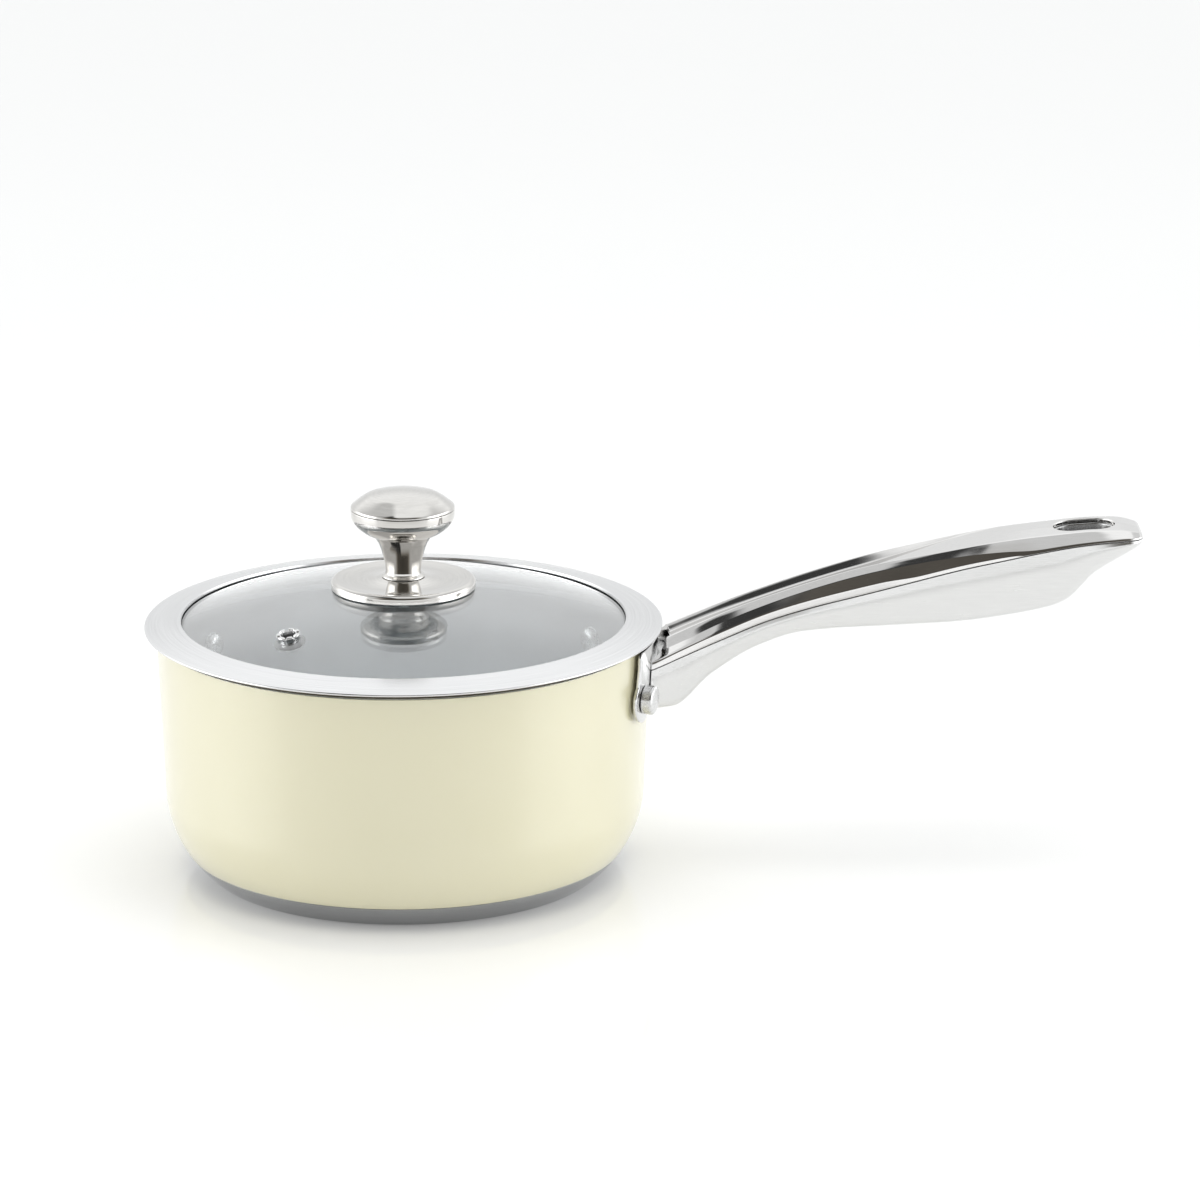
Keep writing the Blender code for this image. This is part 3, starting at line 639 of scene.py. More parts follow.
def wall_radius(height, inset):
    """Radius of the leaning wall's outer face, moved in along its normal."""
    foot = CORNER_CENTRE_RADIUS + CORNER_RADIUS * math.cos(WALL_LEAN)
    return foot + (height - WALL_FOOT) * math.tan(WALL_LEAN) - inset / math.cos(WALL_LEAN)


def corner_angle(height, inset):
    """Angle on the bottom corner's arc at this height, in degrees."""
    return math.degrees(math.asin((height - CORNER_CENTRE_HEIGHT) / (CORNER_RADIUS - inset)))


def corner_arc(low, high, inset, steps):
    """The bottom corner between two heights; None as high runs on to the straight wall."""
    end = -math.degrees(WALL_LEAN) if high is None else corner_angle(high, inset)
    return arc(CORNER, CORNER_RADIUS - inset, corner_angle(low, inset), end, steps)


def wall_line(inset, steps):
    """The straight wall from the corner's end to its top, in even runs."""
    heights = [WALL_FOOT + (WALL_TOP - WALL_FOOT) * i / steps for i in range(1, steps + 1)]
    return [(wall_radius(h, inset), h) for h in heights]


def rivet_drill(name, azimuth):
    section = [(0.0, -8.0), (RIVET_BORE, -8.0), (RIVET_BORE, 8.0), (0.0, 8.0)]
    return turned(name, section, None, TURNS_SMALL, wall_frame(azimuth, RIVET_HEIGHT))


def rivet_drills():
    return [rivet_drill("drill_near", -RIVET_AZIMUTH), rivet_drill("drill_far", RIVET_AZIMUTH)]


def wall_frame(azimuth, height):
    """A frame whose +Z is the wall's outward normal and whose origin is on the wall's face."""
    turn = Matrix.Rotation(math.radians(azimuth), 4, "Z")
    tip = Matrix.Rotation(math.pi / 2 + WALL_LEAN, 4, "Y")
    return turn @ Matrix.Translation((wall_radius(height, 0.0), 0.0, height)) @ tip


def pan_body():
    """Floor, its fillet, the big corner, the wall and the rolled pouring lip."""
    middle_inset = SKIN_THICKNESS + SKIN_GAP + WALL_THICKNESS / 2
    reach = CORNER_RADIUS - middle_inset
    rise = FLOOR_MIDDLE + FLOOR_FILLET - CORNER_CENTRE_HEIGHT
    fillet_radius = CORNER_CENTRE_RADIUS + math.sqrt((reach - FLOOR_FILLET) ** 2 - rise ** 2)
    meeting = math.degrees(math.atan2(rise, fillet_radius - CORNER_CENTRE_RADIUS))
    path = [(0.0, FLOOR_MIDDLE)] + [(fillet_radius * i / 8, FLOOR_MIDDLE) for i in range(1, 8)]
    path += arc((fillet_radius, FLOOR_MIDDLE + FLOOR_FILLET), FLOOR_FILLET, -90.0, meeting, 8)
    path += arc(CORNER, reach, meeting, -math.degrees(WALL_LEAN), 16)[1:]
    path += wall_line(middle_inset, 10)
    wall_end = path[-1]
    path += arc((wall_end[0] + LIP_BEND, LIP_HEIGHT - LIP_BEND), LIP_BEND, 180, 90, 6)[1:]
    path.append((LIP_RADIUS, LIP_HEIGHT))
    section = band(path, WALL_THICKNESS)
    section[0] = (0.0, FLOOR_MIDDLE + WALL_THICKNESS / 2)
    section[-1] = (0.0, FLOOR_MIDDLE - WALL_THICKNESS / 2)
    body = turned("pan_body_look", rounded(section, 0.3), LOOKS["pan_steel"])
    carve(body, rivet_drills())
    place(body, "pot")


def enamel_coat():
    outer = corner_arc(SKIN_SPLIT_HEIGHT, None, 0.0, 20) + wall_line(0.0, 10)
    inner = corner_arc(SKIN_SPLIT_HEIGHT, None, SKIN_THICKNESS, 20) + wall_line(SKIN_THICKNESS, 10)
    coat = turned("enamel_coat_look", rounded(outer + inner[::-1], 0.15), LOOKS["cream_enamel"])
    carve(coat, rivet_drills())
    place(coat, "pot")


def base_cap():
    """Bright-finish cap in steel darkened as painted shade: its band, a small chamfer and the flat it
    stands on.
    """
    top = SKIN_SPLIT_HEIGHT - SKIN_GAP
    outer = corner_arc(0.0, top, 0.0, 12)
    inner = corner_arc(SKIN_THICKNESS, top, SKIN_THICKNESS, 12)
    section = [(0.0, 0.0), (60.0, 0.0)] + outer + inner[::-1] + [(0.0, SKIN_THICKNESS)]
    turned_piece("base_cap", "pot", "base_steel", rounded(section, 0.5))


def rest_stud(side, azimuth):
    dome = [(STUD_RADIUS * math.cos(a), 0.6 + (STUD_DOME - 0.6) * math.sin(a))
            for a in (math.radians(6 * i) for i in range(1, 15))]
    section = [(0.0, 0.0), (STUD_RADIUS, 0.0), (STUD_RADIUS, 0.6)] + dome + [(0.0, STUD_DOME)]
    turn = Matrix.Rotation(math.radians(azimuth), 4, "Z")
    inward = Matrix.Rotation(-math.pi / 2, 4, "Y")
    where = turn @ Matrix.Translation((STUD_BACK_RADIUS, 0.0, STUD_HEIGHT)) @ inward
    turned_piece(f"rest_stud_{side}", "pot", "rivet_steel", section, TURNS_SMALL, where)


# --- rivets, spacers and bracket

def rivet(side, azimuth):
    """A solid rivet: flat head with a rounded edge outside, low dome inside."""
    inner_face = -(SKIN_THICKNESS + SKIN_GAP + WALL_THICKNESS + 0.3)
    outer_face = PLATE_STANDOFF + PLATE_THICKNESS + 0.2
    top = outer_face + RIVET_HEAD_HEIGHT
    inner_dome = [(RIVET_INNER_HEAD * math.sin(a), inner_face - 0.5 - 1.7 * math.cos(a))
                  for a in (math.radians(9 * i) for i in range(1, 10))]
    crown = [(RIVET_HEAD - 1.2 + 1.2 * math.cos(a), top - 1.3 + 1.1 * math.sin(a))
             for a in (math.radians(10 * i) for i in range(0, 9))]
    section = [(0.0, inner_face - 2.2)] + inner_dome + [(RIVET_INNER_HEAD, inner_face)]
    section += [(RIVET_SHANK, inner_face), (RIVET_SHANK, outer_face)]
    section += rounded([(RIVET_SHANK, outer_face), (RIVET_HEAD, outer_face), crown[0]], 0.25)[6:-6]
    section += crown + [(2.6, top - 0.1), (0.0, top)]
    turned_piece(f"rivet_{side}", "pot", "rivet_steel", section, TURNS_SMALL,
                 wall_frame(azimuth, RIVET_HEIGHT), sharp=50.0)


def rivet_spacer(side, azimuth):
    """A thin round spacer between wall and bracket, full at its edge."""
    low, high = SKIN_GAP, SKIN_GAP + 1.0
    section = [(RIVET_BORE, low), (SPACER_RADIUS, low), (SPACER_RADIUS, high), (RIVET_BORE, high)]
    turned_piece(f"rivet_spacer_{side}", "pot", "bracket_steel",
                 rounded(section, 0.45), TURNS_SMALL, wall_frame(azimuth, RIVET_HEIGHT))


def plate_outline():
    """The bracket's outline seen along the handle: a broad neck and two round ears."""
    ear_across = wall_radius(RIVET_HEIGHT, 0.0) * math.sin(math.radians(RIVET_AZIMUTH))
    squeeze = math.cos(math.radians(RIVET_AZIMUTH))
    ear = [(ear_across + (y - ear_across) * squeeze, z)
           for y, z in arc((ear_across, RIVET_HEIGHT), EAR_RADIUS, 40, -125, 30)]
    side = [(PLATE_HALF_WIDTH - 1.5, PLATE_TOP), (PLATE_HALF_WIDTH, PLATE_TOP - 1.5),
            (PLATE_HALF_WIDTH, PLATE_TOP - 6.0)]
    half = side + ear + [(20.0, PLATE_BOTTOM)]
    return half + [(-y, z) for y, z in reversed(half)]


def handle_bracket():
    """A stamped plate, made flat with rounded edges and then wrapped round the wall."""
    mesh_data = bmesh.new()
    clear = 100.0  # rounded() leaves corners on the axis sharp, so the outline is moved off it
    outline = [(y + clear, z) for y, z in plate_outline()]
    verts = [mesh_data.verts.new((y - clear, z, 0.0)) for y, z in rounded(outline, 2.0)]
    sheet = mesh_data.faces.new(verts)
    grown = bmesh.ops.extrude_face_region(mesh_data, geom=[sheet])["geom"]
    lifted = [item for item in grown if isinstance(item, bmesh.types.BMVert)]
    bmesh.ops.translate(mesh_data, vec=(0.0, 0.0, PLATE_THICKNESS), verts=lifted)
    bmesh.ops.recalc_face_normals(mesh_data, faces=mesh_data.faces)
    rims = [edge for edge in mesh_data.edges if abs(edge.verts[0].co.z - edge.verts[1].co.z) < 1e-6]
    bmesh.ops.bevel(mesh_data, geom=rims, offset=0.4, segments=4, affect="EDGES", profile=0.5)
    for across in range(-32, 33, 2):
        geometry = mesh_data.verts[:] + mesh_data.edges[:] + mesh_data.faces[:]
        bmesh.ops.bisect_plane(mesh_data, geom=geometry, dist=1e-5, plane_co=(across, 0.0, 0.0),
                               plane_no=(1.0, 0.0, 0.0))
    for vert in mesh_data.verts:
        across, height, out = vert.co
        radius = wall_radius(height, -PLATE_STANDOFF - out)
        turn = math.asin(across / wall_radius(height, -PLATE_STANDOFF))
        vert.co = (radius * math.cos(turn), radius * math.sin(turn), height)
    plate = finish(mesh_data, "handle_bracket_look", LOOKS["bracket_steel"])
    carve(plate, rivet_drills())
    place(plate, "pot")


# --- handle

CREST = smooth_curve(CREST_CURVE)
CREST_WIDTH = smooth_curve(CREST_WIDTH_CURVE)
MIDDLE = smooth_curve(MIDDLE_CURVE)
SEAM = smooth_curve(SEAM_CURVE)
BOTTOM = smooth_curve(BOTTOM_CURVE)
HALF_WIDTH = smooth_curve(HALF_WIDTH_CURVE)
FACET_ACROSS = smooth_curve(FACET_ACROSS_CURVE)
FACET_DROP = smooth_curve(FACET_DROP_CURVE)
SIDE_DROP = smooth_curve(SIDE_DROP_CURVE)


def upper_half(x):
    """Upper shell's outer line at one station, from the seam over the crest to the middle."""
    half_width, crest, crest_width = HALF_WIDTH(x), CREST(x), CREST_WIDTH(x)
    seam, middle = SEAM(x), MIDDLE(x)
    across, drop = half_width - crest_width, crest - seam
    foot = crest_width - 0.8 - 0.8 * max(-middle, 0.0)
    bulge = 1.0 if middle < 0 else 1 - (foot / crest_width) ** 2
    corners = [(half_width - 0.3, seam), (half_width, seam),
               (half_width - 0.04 * across, crest - SIDE_DROP(x) * drop),
               (crest_width + FACET_ACROSS(x) * across, crest - FACET_DROP(x) * drop),
               (crest_width, crest), (foot, crest + middle * bulge), (0.0, crest + middle)]
    radii = [0.2, 1.2, 1.0, 1.5 - 0.8 * ramp(x, 105, 130), 1.5 + 6.5 * ramp(middle, -1.0, 0.0)]
    return eased(corners, radii, (1, 4, 4, 3, 3, 9), 5)


def lower_half(x):
    """Lower shell's outer line at one station, from the seam to the middle of the belly."""
    half_width, floor, top = HALF_WIDTH(x), BOTTOM(x), SEAM(x) - SEAM_GAP
    height = top - floor
    radius = min(4.5, height * 0.5, half_width * 0.4)
    foot = half_width - min(height * 0.12, 3.0)
    corners = [(half_width - 0.3, top), (half_width, top), (half_width + 0.5, top - height * 0.28),
               (foot, floor + 0.15), (0.0, floor - 0.1)]
    return eased(corners, [0.2, 14.0, radius * 1.1], (1, 6, 5, 7), 8)


def shell_ring(x, upper):
    """The closed section of one shell; its inside fills towards the handle's tip."""
    half = upper_half(x) if upper else lower_half(x)
    level = SEAM(x) if upper else SEAM(x) - SEAM_GAP
    tip = math.sqrt(1 - 0.85 * min(max((x - HANDLE_END) / 1.5 + 1, 0.0), 1.0) ** 2)
    half = [(y * (0.75 + 0.25 * tip), level + (z - level) * tip) for y, z in half]
    height = max(abs(z - level) for y, z in half)
    hollow = max(1 - 1.6 / height, 0.0) * (1 - ramp(x, FILL_FROM, FILL_TO))
    hollow *= ramp(x, ROOT_SOLID, ROOT_END)
    narrow = 1 - SHEET / half[1][0]
    outer = half + [(-y, z) for y, z in reversed(half[:-1])]
    return outer + [(y * narrow, level + (z - level) * hollow) for y, z in reversed(outer)]


def root_start(y, z, upper):
    """How near the pan a point of the handle may come: bracket and, on top, the lid's knob side."""
    reach = wall_radius(z, -ROOT_CLEARANCE)
    start = math.sqrt(reach ** 2 - y ** 2)
    if upper and abs(y) < SCALLOP_RADIUS:
        start = max(start, SCALLOP_CENTRE + math.sqrt(SCALLOP_RADIUS ** 2 - y ** 2))
    return start


def spread_out(low, high, step):
    count = round((high - low) / step)
    return [low + (high - low) * i / count for i in range(count)]


def handle_stations():
    return (spread_out(HANDLE_START, ROOT_END, 1.5) + spread_out(ROOT_END, 240, 2.5)
            + spread_out(240, 269, 0.8) + spread_out(269, 273.5, 0.6)
            + spread_out(273.5, HANDLE_END, 0.25) + [HANDLE_END])


def handle_shell(name, upper, look):
    """One shell, each of whose lengthwise lines begins where it clears bracket and lid."""
    step = 0.5
    grid = [HANDLE_START + step * i for i in range(81)]
    rings = [shell_ring(x, upper) for x in grid]
    starts = []
    for line in range(len(rings[0])):
        k = next(i for i, x in enumerate(grid) if x > root_start(*rings[i][line], upper))
        before = grid[k - 1] - root_start(*rings[k - 1][line], upper)
        after = grid[k] - root_start(*rings[k][line], upper)
        starts.append(grid[k - 1] - step * before / (after - before))

    def at_root(line, x):
        """A line's place in the root, where the stations close up behind its start."""
        moved = starts[line] + ((x - HANDLE_START) * (ROOT_END - starts[line])
                                / (ROOT_END - HANDLE_START))
        k = min(int((moved - HANDLE_START) / step), len(grid) - 2)
        part = (moved - grid[k]) / step
        (y0, z0), (y1, z1) = rings[k][line], rings[k + 1][line]
        return (moved, y0 + (y1 - y0) * part, z0 + (z1 - z0) * part)

    sections = []
    for x in handle_stations():
        if x < ROOT_END:
            sections.append([at_root(line, x) for line in range(len(starts))])
        else:
            sections.append([(x, y, z) for y, z in shell_ring(x, upper)])
    return lofted(name, sections, look)


def height_across(half, y):
    """Height of a half section's top or belly at this distance from the middle."""
    for (y0, z0), (y1, z1) in zip(half[::-1], half[-2::-1]):
        if y0 <= abs(y) <= y1:
            return z0 + (z1 - z0) * (abs(y) - y0) / (y1 - y0)
    return half[-1][1]


def slot_outline(inset, steps=26):
    """Outline of the hanging hole, moved in by an amount."""
    radius = HOLE_HALF_WIDTH - inset
    shift = HOLE_HALF_LENGTH - HOLE_HALF_WIDTH
    return (arc((HOLE_CENTRE + shift, 0.0), radius, -90, 90, steps)
            + arc((HOLE_CENTRE - shift, 0.0), radius, 90, 270, steps))


def on_top(outline, lift):
    """The outline laid on the handle's top face and lifted."""
    return [(x, y, height_across(upper_half(x), y) + lift) for x, y in outline]


def on_belly(outline, lift):
    return [(x, y, height_across(lower_half(x), y) + lift) for x, y in outline]


def hole_cutter():
    """The hanging hole with a soft mouth that follows the top face."""
    plain = slot_outline(0.0)
    rings = [[(x, y, 80.0) for x, y in plain]]
    for i in range(9):
        angle = math.radians(9.5 * i)
        growth = HOLE_ROUNDING * (1 - math.cos(angle))
        depth = HOLE_ROUNDING * (1 - math.sin(angle))
        rings.append(on_top(slot_outline(-growth), -depth))
    rings.append(on_top(slot_outline(-HOLE_ROUNDING - 0.1), 0.6))
    return lofted("hole_cutter", rings, None)


def hanging_sleeve():
    """A drawn tube from the mouth in the top face down to the belly."""
    outer, inner = slot_outline(SKIN_GAP), slot_outline(SKIN_GAP + SLEEVE_WALL)
    middle = slot_outline(SKIN_GAP + SLEEVE_WALL * 0.5)
    near_inner = slot_outline(SKIN_GAP + SLEEVE_WALL - 0.15)
    sections = [on_top(outer, -2.0), on_top(slot_outline(SKIN_GAP + 0.12), -1.7),
                on_top(middle, -1.6), on_top(near_inner, -1.75), on_top(inner, -2.2),
                on_belly(inner, 0.8), on_belly(near_inner, 0.3), on_belly(middle, 0.15),
                on_belly(outer, 0.5)]
    tube = lofted("hanging_sleeve_look", sections, LOOKS["sleeve_steel_shaded"], closed=True)
    place(tube, "pot")


def handle():
    for side, upper in (("top", True), ("bottom", False)):
        shell = handle_shell(f"handle_{side}_shell_look", upper, LOOKS[f"shell_{side}"])
        carve(shell, [hole_cutter()])
        place(shell, "pot")
    hanging_sleeve()


# --- lid

def glass_top(radius):
    """Height of the glass's upper face at this distance from the axis."""
    return GLASS_APEX - GLASS_DOME_RADIUS + math.sqrt(GLASS_DOME_RADIUS ** 2 - radius ** 2)


def glass_frame(distance, azimuth):
    """A frame on the glass's upper face whose +Z is the glass's outward normal."""
    turn = Matrix.Rotation(math.radians(azimuth), 4, "Z")
    tip = Matrix.Rotation(math.asin(distance / GLASS_DOME_RADIUS), 4, "Y")
    return turn @ Matrix.Translation((distance, 0.0, glass_top(distance))) @ tip


def lid_glass():
    radii = [GLASS_KNOB_HOLE + (GLASS_RADIUS - GLASS_KNOB_HOLE) * i / 40 for i in range(41)]
    upper = [(r, glass_top(r)) for r in radii]
    lower = [(r, glass_top(r) - GLASS_THICKNESS) for r in reversed(radii)]
    glass = turned("lid_glass_look", rounded(upper + lower, 0.9), LOOKS["clear_glass"])
    drill = turned("vent_drill", [(0.0, -9.0), (VENT_HOLE, -9.0), (VENT_HOLE, 5.0), (0.0, 5.0)],
                   None, TURNS_SMALL, matrix=glass_frame(VENT_DISTANCE, VENT_AZIMUTH))
    carve(glass, [drill])
    place(glass, "lid")


def lid_rim():
    """One rolled strip: curled top lip, bead, seat, then a skirt folded up under the glass."""
    half = RING_SHEET / 2
    bead = arc((RING_BEAD_CENTRE, RING_BEAD_HEIGHT), RING_BEAD_RADIUS, 80, -90, 12)
    seat = RING_BEAD_HEIGHT - RING_BEAD_RADIUS
    start = (RING_INNER_RADIUS, RING_INNER_TOP - half)
    lip = [(start[0] + (bead[0][0] - start[0]) * i / 6,
            start[1] + (bead[0][1] - start[1]) * i / 6 + 0.06 * math.sin(math.pi * i / 6))
           for i in range(6)]
    path = lip + bead + arc((90.5, seat - 0.8), 0.8, 90, 180, 5)
    path += arc((89.1, 85.4), 0.55, 0, -180, 9)
    path += arc((87.95, 87.6), 0.6, 0, 90, 4) + [(84.9, 88.2)]
    curl = [(RING_INNER_RADIUS - 0.25, RING_INNER_TOP - 1.25),
            (RING_INNER_RADIUS - 0.2, RING_INNER_TOP - 0.7)]
    section = rounded(band(curl + path, RING_SHEET), 0.22)
    turned_piece("lid_rim", "lid", "ring_steel", section)


def lid_gasket():
    """Silicone channel round the glass's edge, inside the ring."""
    clear = 0.15
    outer = GLASS_RADIUS + 1.1
    lip_slope = ((RING_INNER_TOP - RING_BEAD_HEIGHT - RING_BEAD_RADIUS)
                 / (RING_BEAD_CENTRE - RING_INNER_RADIUS))
    lip_under = RING_INNER_TOP - RING_SHEET - clear
    section = [(84.3, lip_under - 0.7 * lip_slope), (outer, lip_under - 4.6 * lip_slope),
               (outer, 88.65), (85.0, 88.65), (85.0, glass_top(85.0) - GLASS_THICKNESS - clear),
               (GLASS_RADIUS + clear, glass_top(GLASS_RADIUS) - GLASS_THICKNESS - clear),
               (GLASS_RADIUS + clear, glass_top(GLASS_RADIUS) + clear),
               (84.3, glass_top(84.3) + clear)]
    turned_piece("lid_gasket", "lid", "silicone", rounded(section, 0.2))


def vent_eyelet():
    """Flanged tube whose upper end is split into petals and crimped down."""
    under = -GLASS_THICKNESS - 1.1
    bore = VENT_TUBE - 0.5

    def section_at(angle):
        apart = 2 * math.pi / VENT_PETALS
        from_split = abs((angle / apart) % 1.0 - 0.5) * apart
        split = 1 - ramp(from_split, 0.05, 0.2)
        reach, top = 4.5 - 0.8 * split, 1.6 - 0.8 * split
        lip = arc((reach - 0.55, top - 0.55), 0.55, -60, 90, 6)
        return [(bore, under - 0.4), (5.5, under - 0.5), (5.6, under - 0.35), (5.6, under),
                (VENT_TUBE, under), (VENT_TUBE, 0.3), (reach - 0.5, 0.3)] + lip + [
                (bore + 0.5, top), (bore + 0.1, top - 0.2), (bore, top - 0.6)]

    eyelet = spun("vent_eyelet_look", section_at, LOOKS["bracket_steel"], 140,
                  matrix=glass_frame(VENT_DISTANCE, VENT_AZIMUTH), sharp=50.0)
    place(eyelet, "lid")


def flat_ring(inner_radius, outer_radius, low, high, rounding):
    """Section of a washer or seal with softened edges."""
    return rounded([(inner_radius, low), (outer_radius, low), (outer_radius, high),
                    (inner_radius, high)], rounding)


def vent_washer():
    top = -GLASS_THICKNESS - 0.3
    turned_piece("vent_washer", "lid", "silicone",
                 flat_ring(VENT_HOLE, 5.8, top - 0.7, top, 0.2), TURNS_SMALL,
                 glass_frame(VENT_DISTANCE, VENT_AZIMUTH))


# --- knob

def knob_base_disc():
    """A steel saucer raised under the neck, with a turned-down edge."""
    rim = arc((KNOB_DISC_RADIUS - 1.3, KNOB_DISC_HEIGHT - 1.9), 1.3, 95, 0, 8)
    low = KNOB_DISC_HEIGHT - 1.1
    rise = [(8.5 + 9.5 * i / 12, low + 1.1 * (1 - i / 12) ** 2) for i in range(13)]
    dish = [(18.0 + 7.0 * i / 6, low + 0.48 * (i / 6) ** 1.6) for i in range(1, 6)]
    path = [(2.8, KNOB_DISC_HEIGHT)] + rise + dish + rim
    path.append((KNOB_DISC_RADIUS, glass_top(KNOB_DISC_RADIUS) + 0.3))
    section = rounded(band(path, KNOB_DISC_SHEET), 0.2)
    turned_piece("knob_base_disc", "lid", "knob_steel", section, TURNS_KNOB)


def knob_stem():
    """Foot, waist, flaring neck, bowl-shaped underside and grip band, bored for the insert."""
    foot = KNOB_DISC_HEIGHT + KNOB_DISC_SHEET / 2 + SKIN_GAP
    waist = smooth_curve([(foot + 1.2, KNOB_WAIST_RADIUS + 0.2), (foot + 2.2, KNOB_WAIST_RADIUS),
                          (foot + 4.5, 6.8), (foot + 7.0, 7.3), (foot + 12.8, 9.1),
                          (KNOB_NECK_TOP - 1.0, 10.2), (KNOB_NECK_TOP, KNOB_NECK_RADIUS)])
    rise = KNOB_NECK_TOP - foot - 1.2
    outer = [(8.2, foot), (7.9, foot + 0.55)]
    outer += [(waist(foot + 1.2 + rise * i / 24), foot + 1.2 + rise * i / 24) for i in range(25)]
    bowl = smooth_curve([(KNOB_NECK_RADIUS, KNOB_NECK_TOP), (12.2, 128.1), (14.0, 129.0),
                         (16.5, 130.8), (18.5, 133.0), (19.2, 134.4), (KNOB_RADIUS, KNOB_BAND_BOTTOM)])
    reach = KNOB_RADIUS - KNOB_NECK_RADIUS
    steps = [math.sin(math.pi / 2 * i / 16) for i in range(1, 17)]
    outer += [(KNOB_NECK_RADIUS + reach * t, bowl(KNOB_NECK_RADIUS + reach * t)) for t in steps]
    outer.append((KNOB_RADIUS, KNOB_BAND_TOP))
    inner = [(18.5, KNOB_BAND_TOP), (18.5, 135.5), (17.6, 133.4), (15.7, 131.6), (13.3, 130.1),
             (10.2, 128.7), (8.2, 124.0), (7.0, foot + 11.6), (INSERT_RADIUS + 0.3, foot + 10.8),
             (INSERT_RADIUS + 0.3, foot)]
    section = rounded(outer + inner, 0.25)
    turned_piece("knob_stem", "lid", "knob_steel", section, TURNS_KNOB)


def knob_cap():
    """Domed head: a broad crown, a steeper shoulder and a tight edge."""
    edge = KNOB_BAND_TOP + SKIN_GAP
    edge_centre = Vector((KNOB_RADIUS - KNOB_EDGE_ROUNDING, edge + 0.24))
    start_angle = math.radians(KNOB_SHOULDER_FROM)
    turn = Vector((math.cos(start_angle), math.sin(start_angle)))
    shoulder_centre = edge_centre + turn * (KNOB_EDGE_ROUNDING - KNOB_SHOULDER_RADIUS)

    def dome(inset, steps):
        line = arc(edge_centre, KNOB_EDGE_ROUNDING - inset, 0, KNOB_SHOULDER_FROM, steps)
        line += arc(shoulder_centre, KNOB_SHOULDER_RADIUS - inset, KNOB_SHOULDER_FROM,
                    KNOB_SHOULDER_TO, steps)[1:]
        crown = KNOB_CROWN_RADIUS - inset
        start = math.degrees(math.acos(line[-1][0] / crown))
        top = arc((0.0, KNOB_APEX - KNOB_CROWN_RADIUS), crown, start, 90, 12)
        return line + top[1:-1] + [(0.0, KNOB_APEX - inset)]

    outer = [(KNOB_RADIUS, edge)] + dome(0.0, 8)
    inner = dome(KNOB_SHEET, 4)[::-1] + [(KNOB_RADIUS - KNOB_SHEET, edge)]
    section = rounded(outer + inner, 0.2)
    turned_piece("knob_cap", "lid", "knob_steel", section, TURNS_KNOB)


def knob_fixings():
    """The threaded insert in the neck and everything on the screw, down to its head."""
    steel, rubber = "rivet_steel", "silicone"
    under = glass_top(0.0) - GLASS_THICKNESS
    disc_under = KNOB_DISC_HEIGHT - KNOB_DISC_SHEET / 2
    insert_foot = disc_under + KNOB_DISC_SHEET + SKIN_GAP
    bore = SCREW_RADIUS + 0.3
    rings = [("knob_insert", steel, (bore, INSERT_RADIUS, insert_foot, insert_foot + 10.0, 0.3)),
             ("knob_seal_top", rubber,
              (2.6, 8.5, glass_top(0.0) + SKIN_GAP, disc_under - SKIN_GAP, 0.25)),
             ("knob_seal_bottom", rubber, (2.6, 9.0, under - 1.5, under - 0.3, 0.35)),
             ("knob_washer", steel, (2.4, 8.0, under - 2.6, under - 1.8, 0.2))]
    for node, slot, sizes in rings:
        turned_piece(node, "lid", slot, flat_ring(*sizes), TURNS_SMALL)

    def coil_at(angle):
        rise = 0.3 * (angle / math.pi - 1)
        return [(r, h + rise) for r, h in flat_ring(2.4, 4.6, under - 3.75, under - 3.05, 0.12)]

    coil = spun("knob_lock_washer_look", coil_at, LOOKS[steel], TURNS_SMALL, sweep=345.0)
    place(coil, "lid")

    head_top = under - 4.2
    pan_head = [(4.9 * math.sin(a), head_top - 0.9 - 1.7 * math.cos(a))
                for a in (math.radians(9 * i) for i in range(1, 10))]
    section = [(0.0, head_top - 2.6)] + pan_head + [(4.9, head_top - 0.9), (4.9, head_top),
              (SCREW_RADIUS, head_top), (SCREW_RADIUS, insert_foot + 7.6),
              (SCREW_RADIUS - 0.6, insert_foot + 8.4), (0.0, insert_foot + 8.4)]
    screw = turned("knob_screw_look", section, LOOKS[steel], TURNS_SMALL)
    recesses = []
    for number, (across, along) in enumerate(((0.5, 2.6), (2.6, 0.5))):
        outline = [(-across, -along), (across, -along), (across, along), (-across, along)]
        recesses.append(prism(f"drive_slot_{number}", outline, head_top - 4.0, head_top - 1.2))
    carve(screw, recesses, sharp=35.0)
    place(screw, "lid")


def base_core():
    inset = SKIN_THICKNESS + SKIN_GAP
    section = [(0.0, inset)] + corner_arc(inset, 5.0, inset, 6) + [(0.0, 5.0)]
    turned_piece("base_core", "pot", "core_aluminium", rounded(section, 0.3))


# --- floor, light, camera

FLOOR_REACH = 6.0
FLOOR_GLOW = 0.08
FRONT_POWER = 1.0
TOP_POWER = 8.0
CAMERA_PLACE = (0.0735, -1.8693, 0.6264)
CAMERA_PITCH = 15.66
CAMERA_LENS = 155.6

# Brightness round the room: degrees from straight in front of the pan, then radiance
ROOM_PROFILE = [(0, 0.09), (30, 0.12), (54, 0.8), (68, 3.3), (90, 3.6), (110, 2.7), (138, 1.25),
                (180, 1.18)]

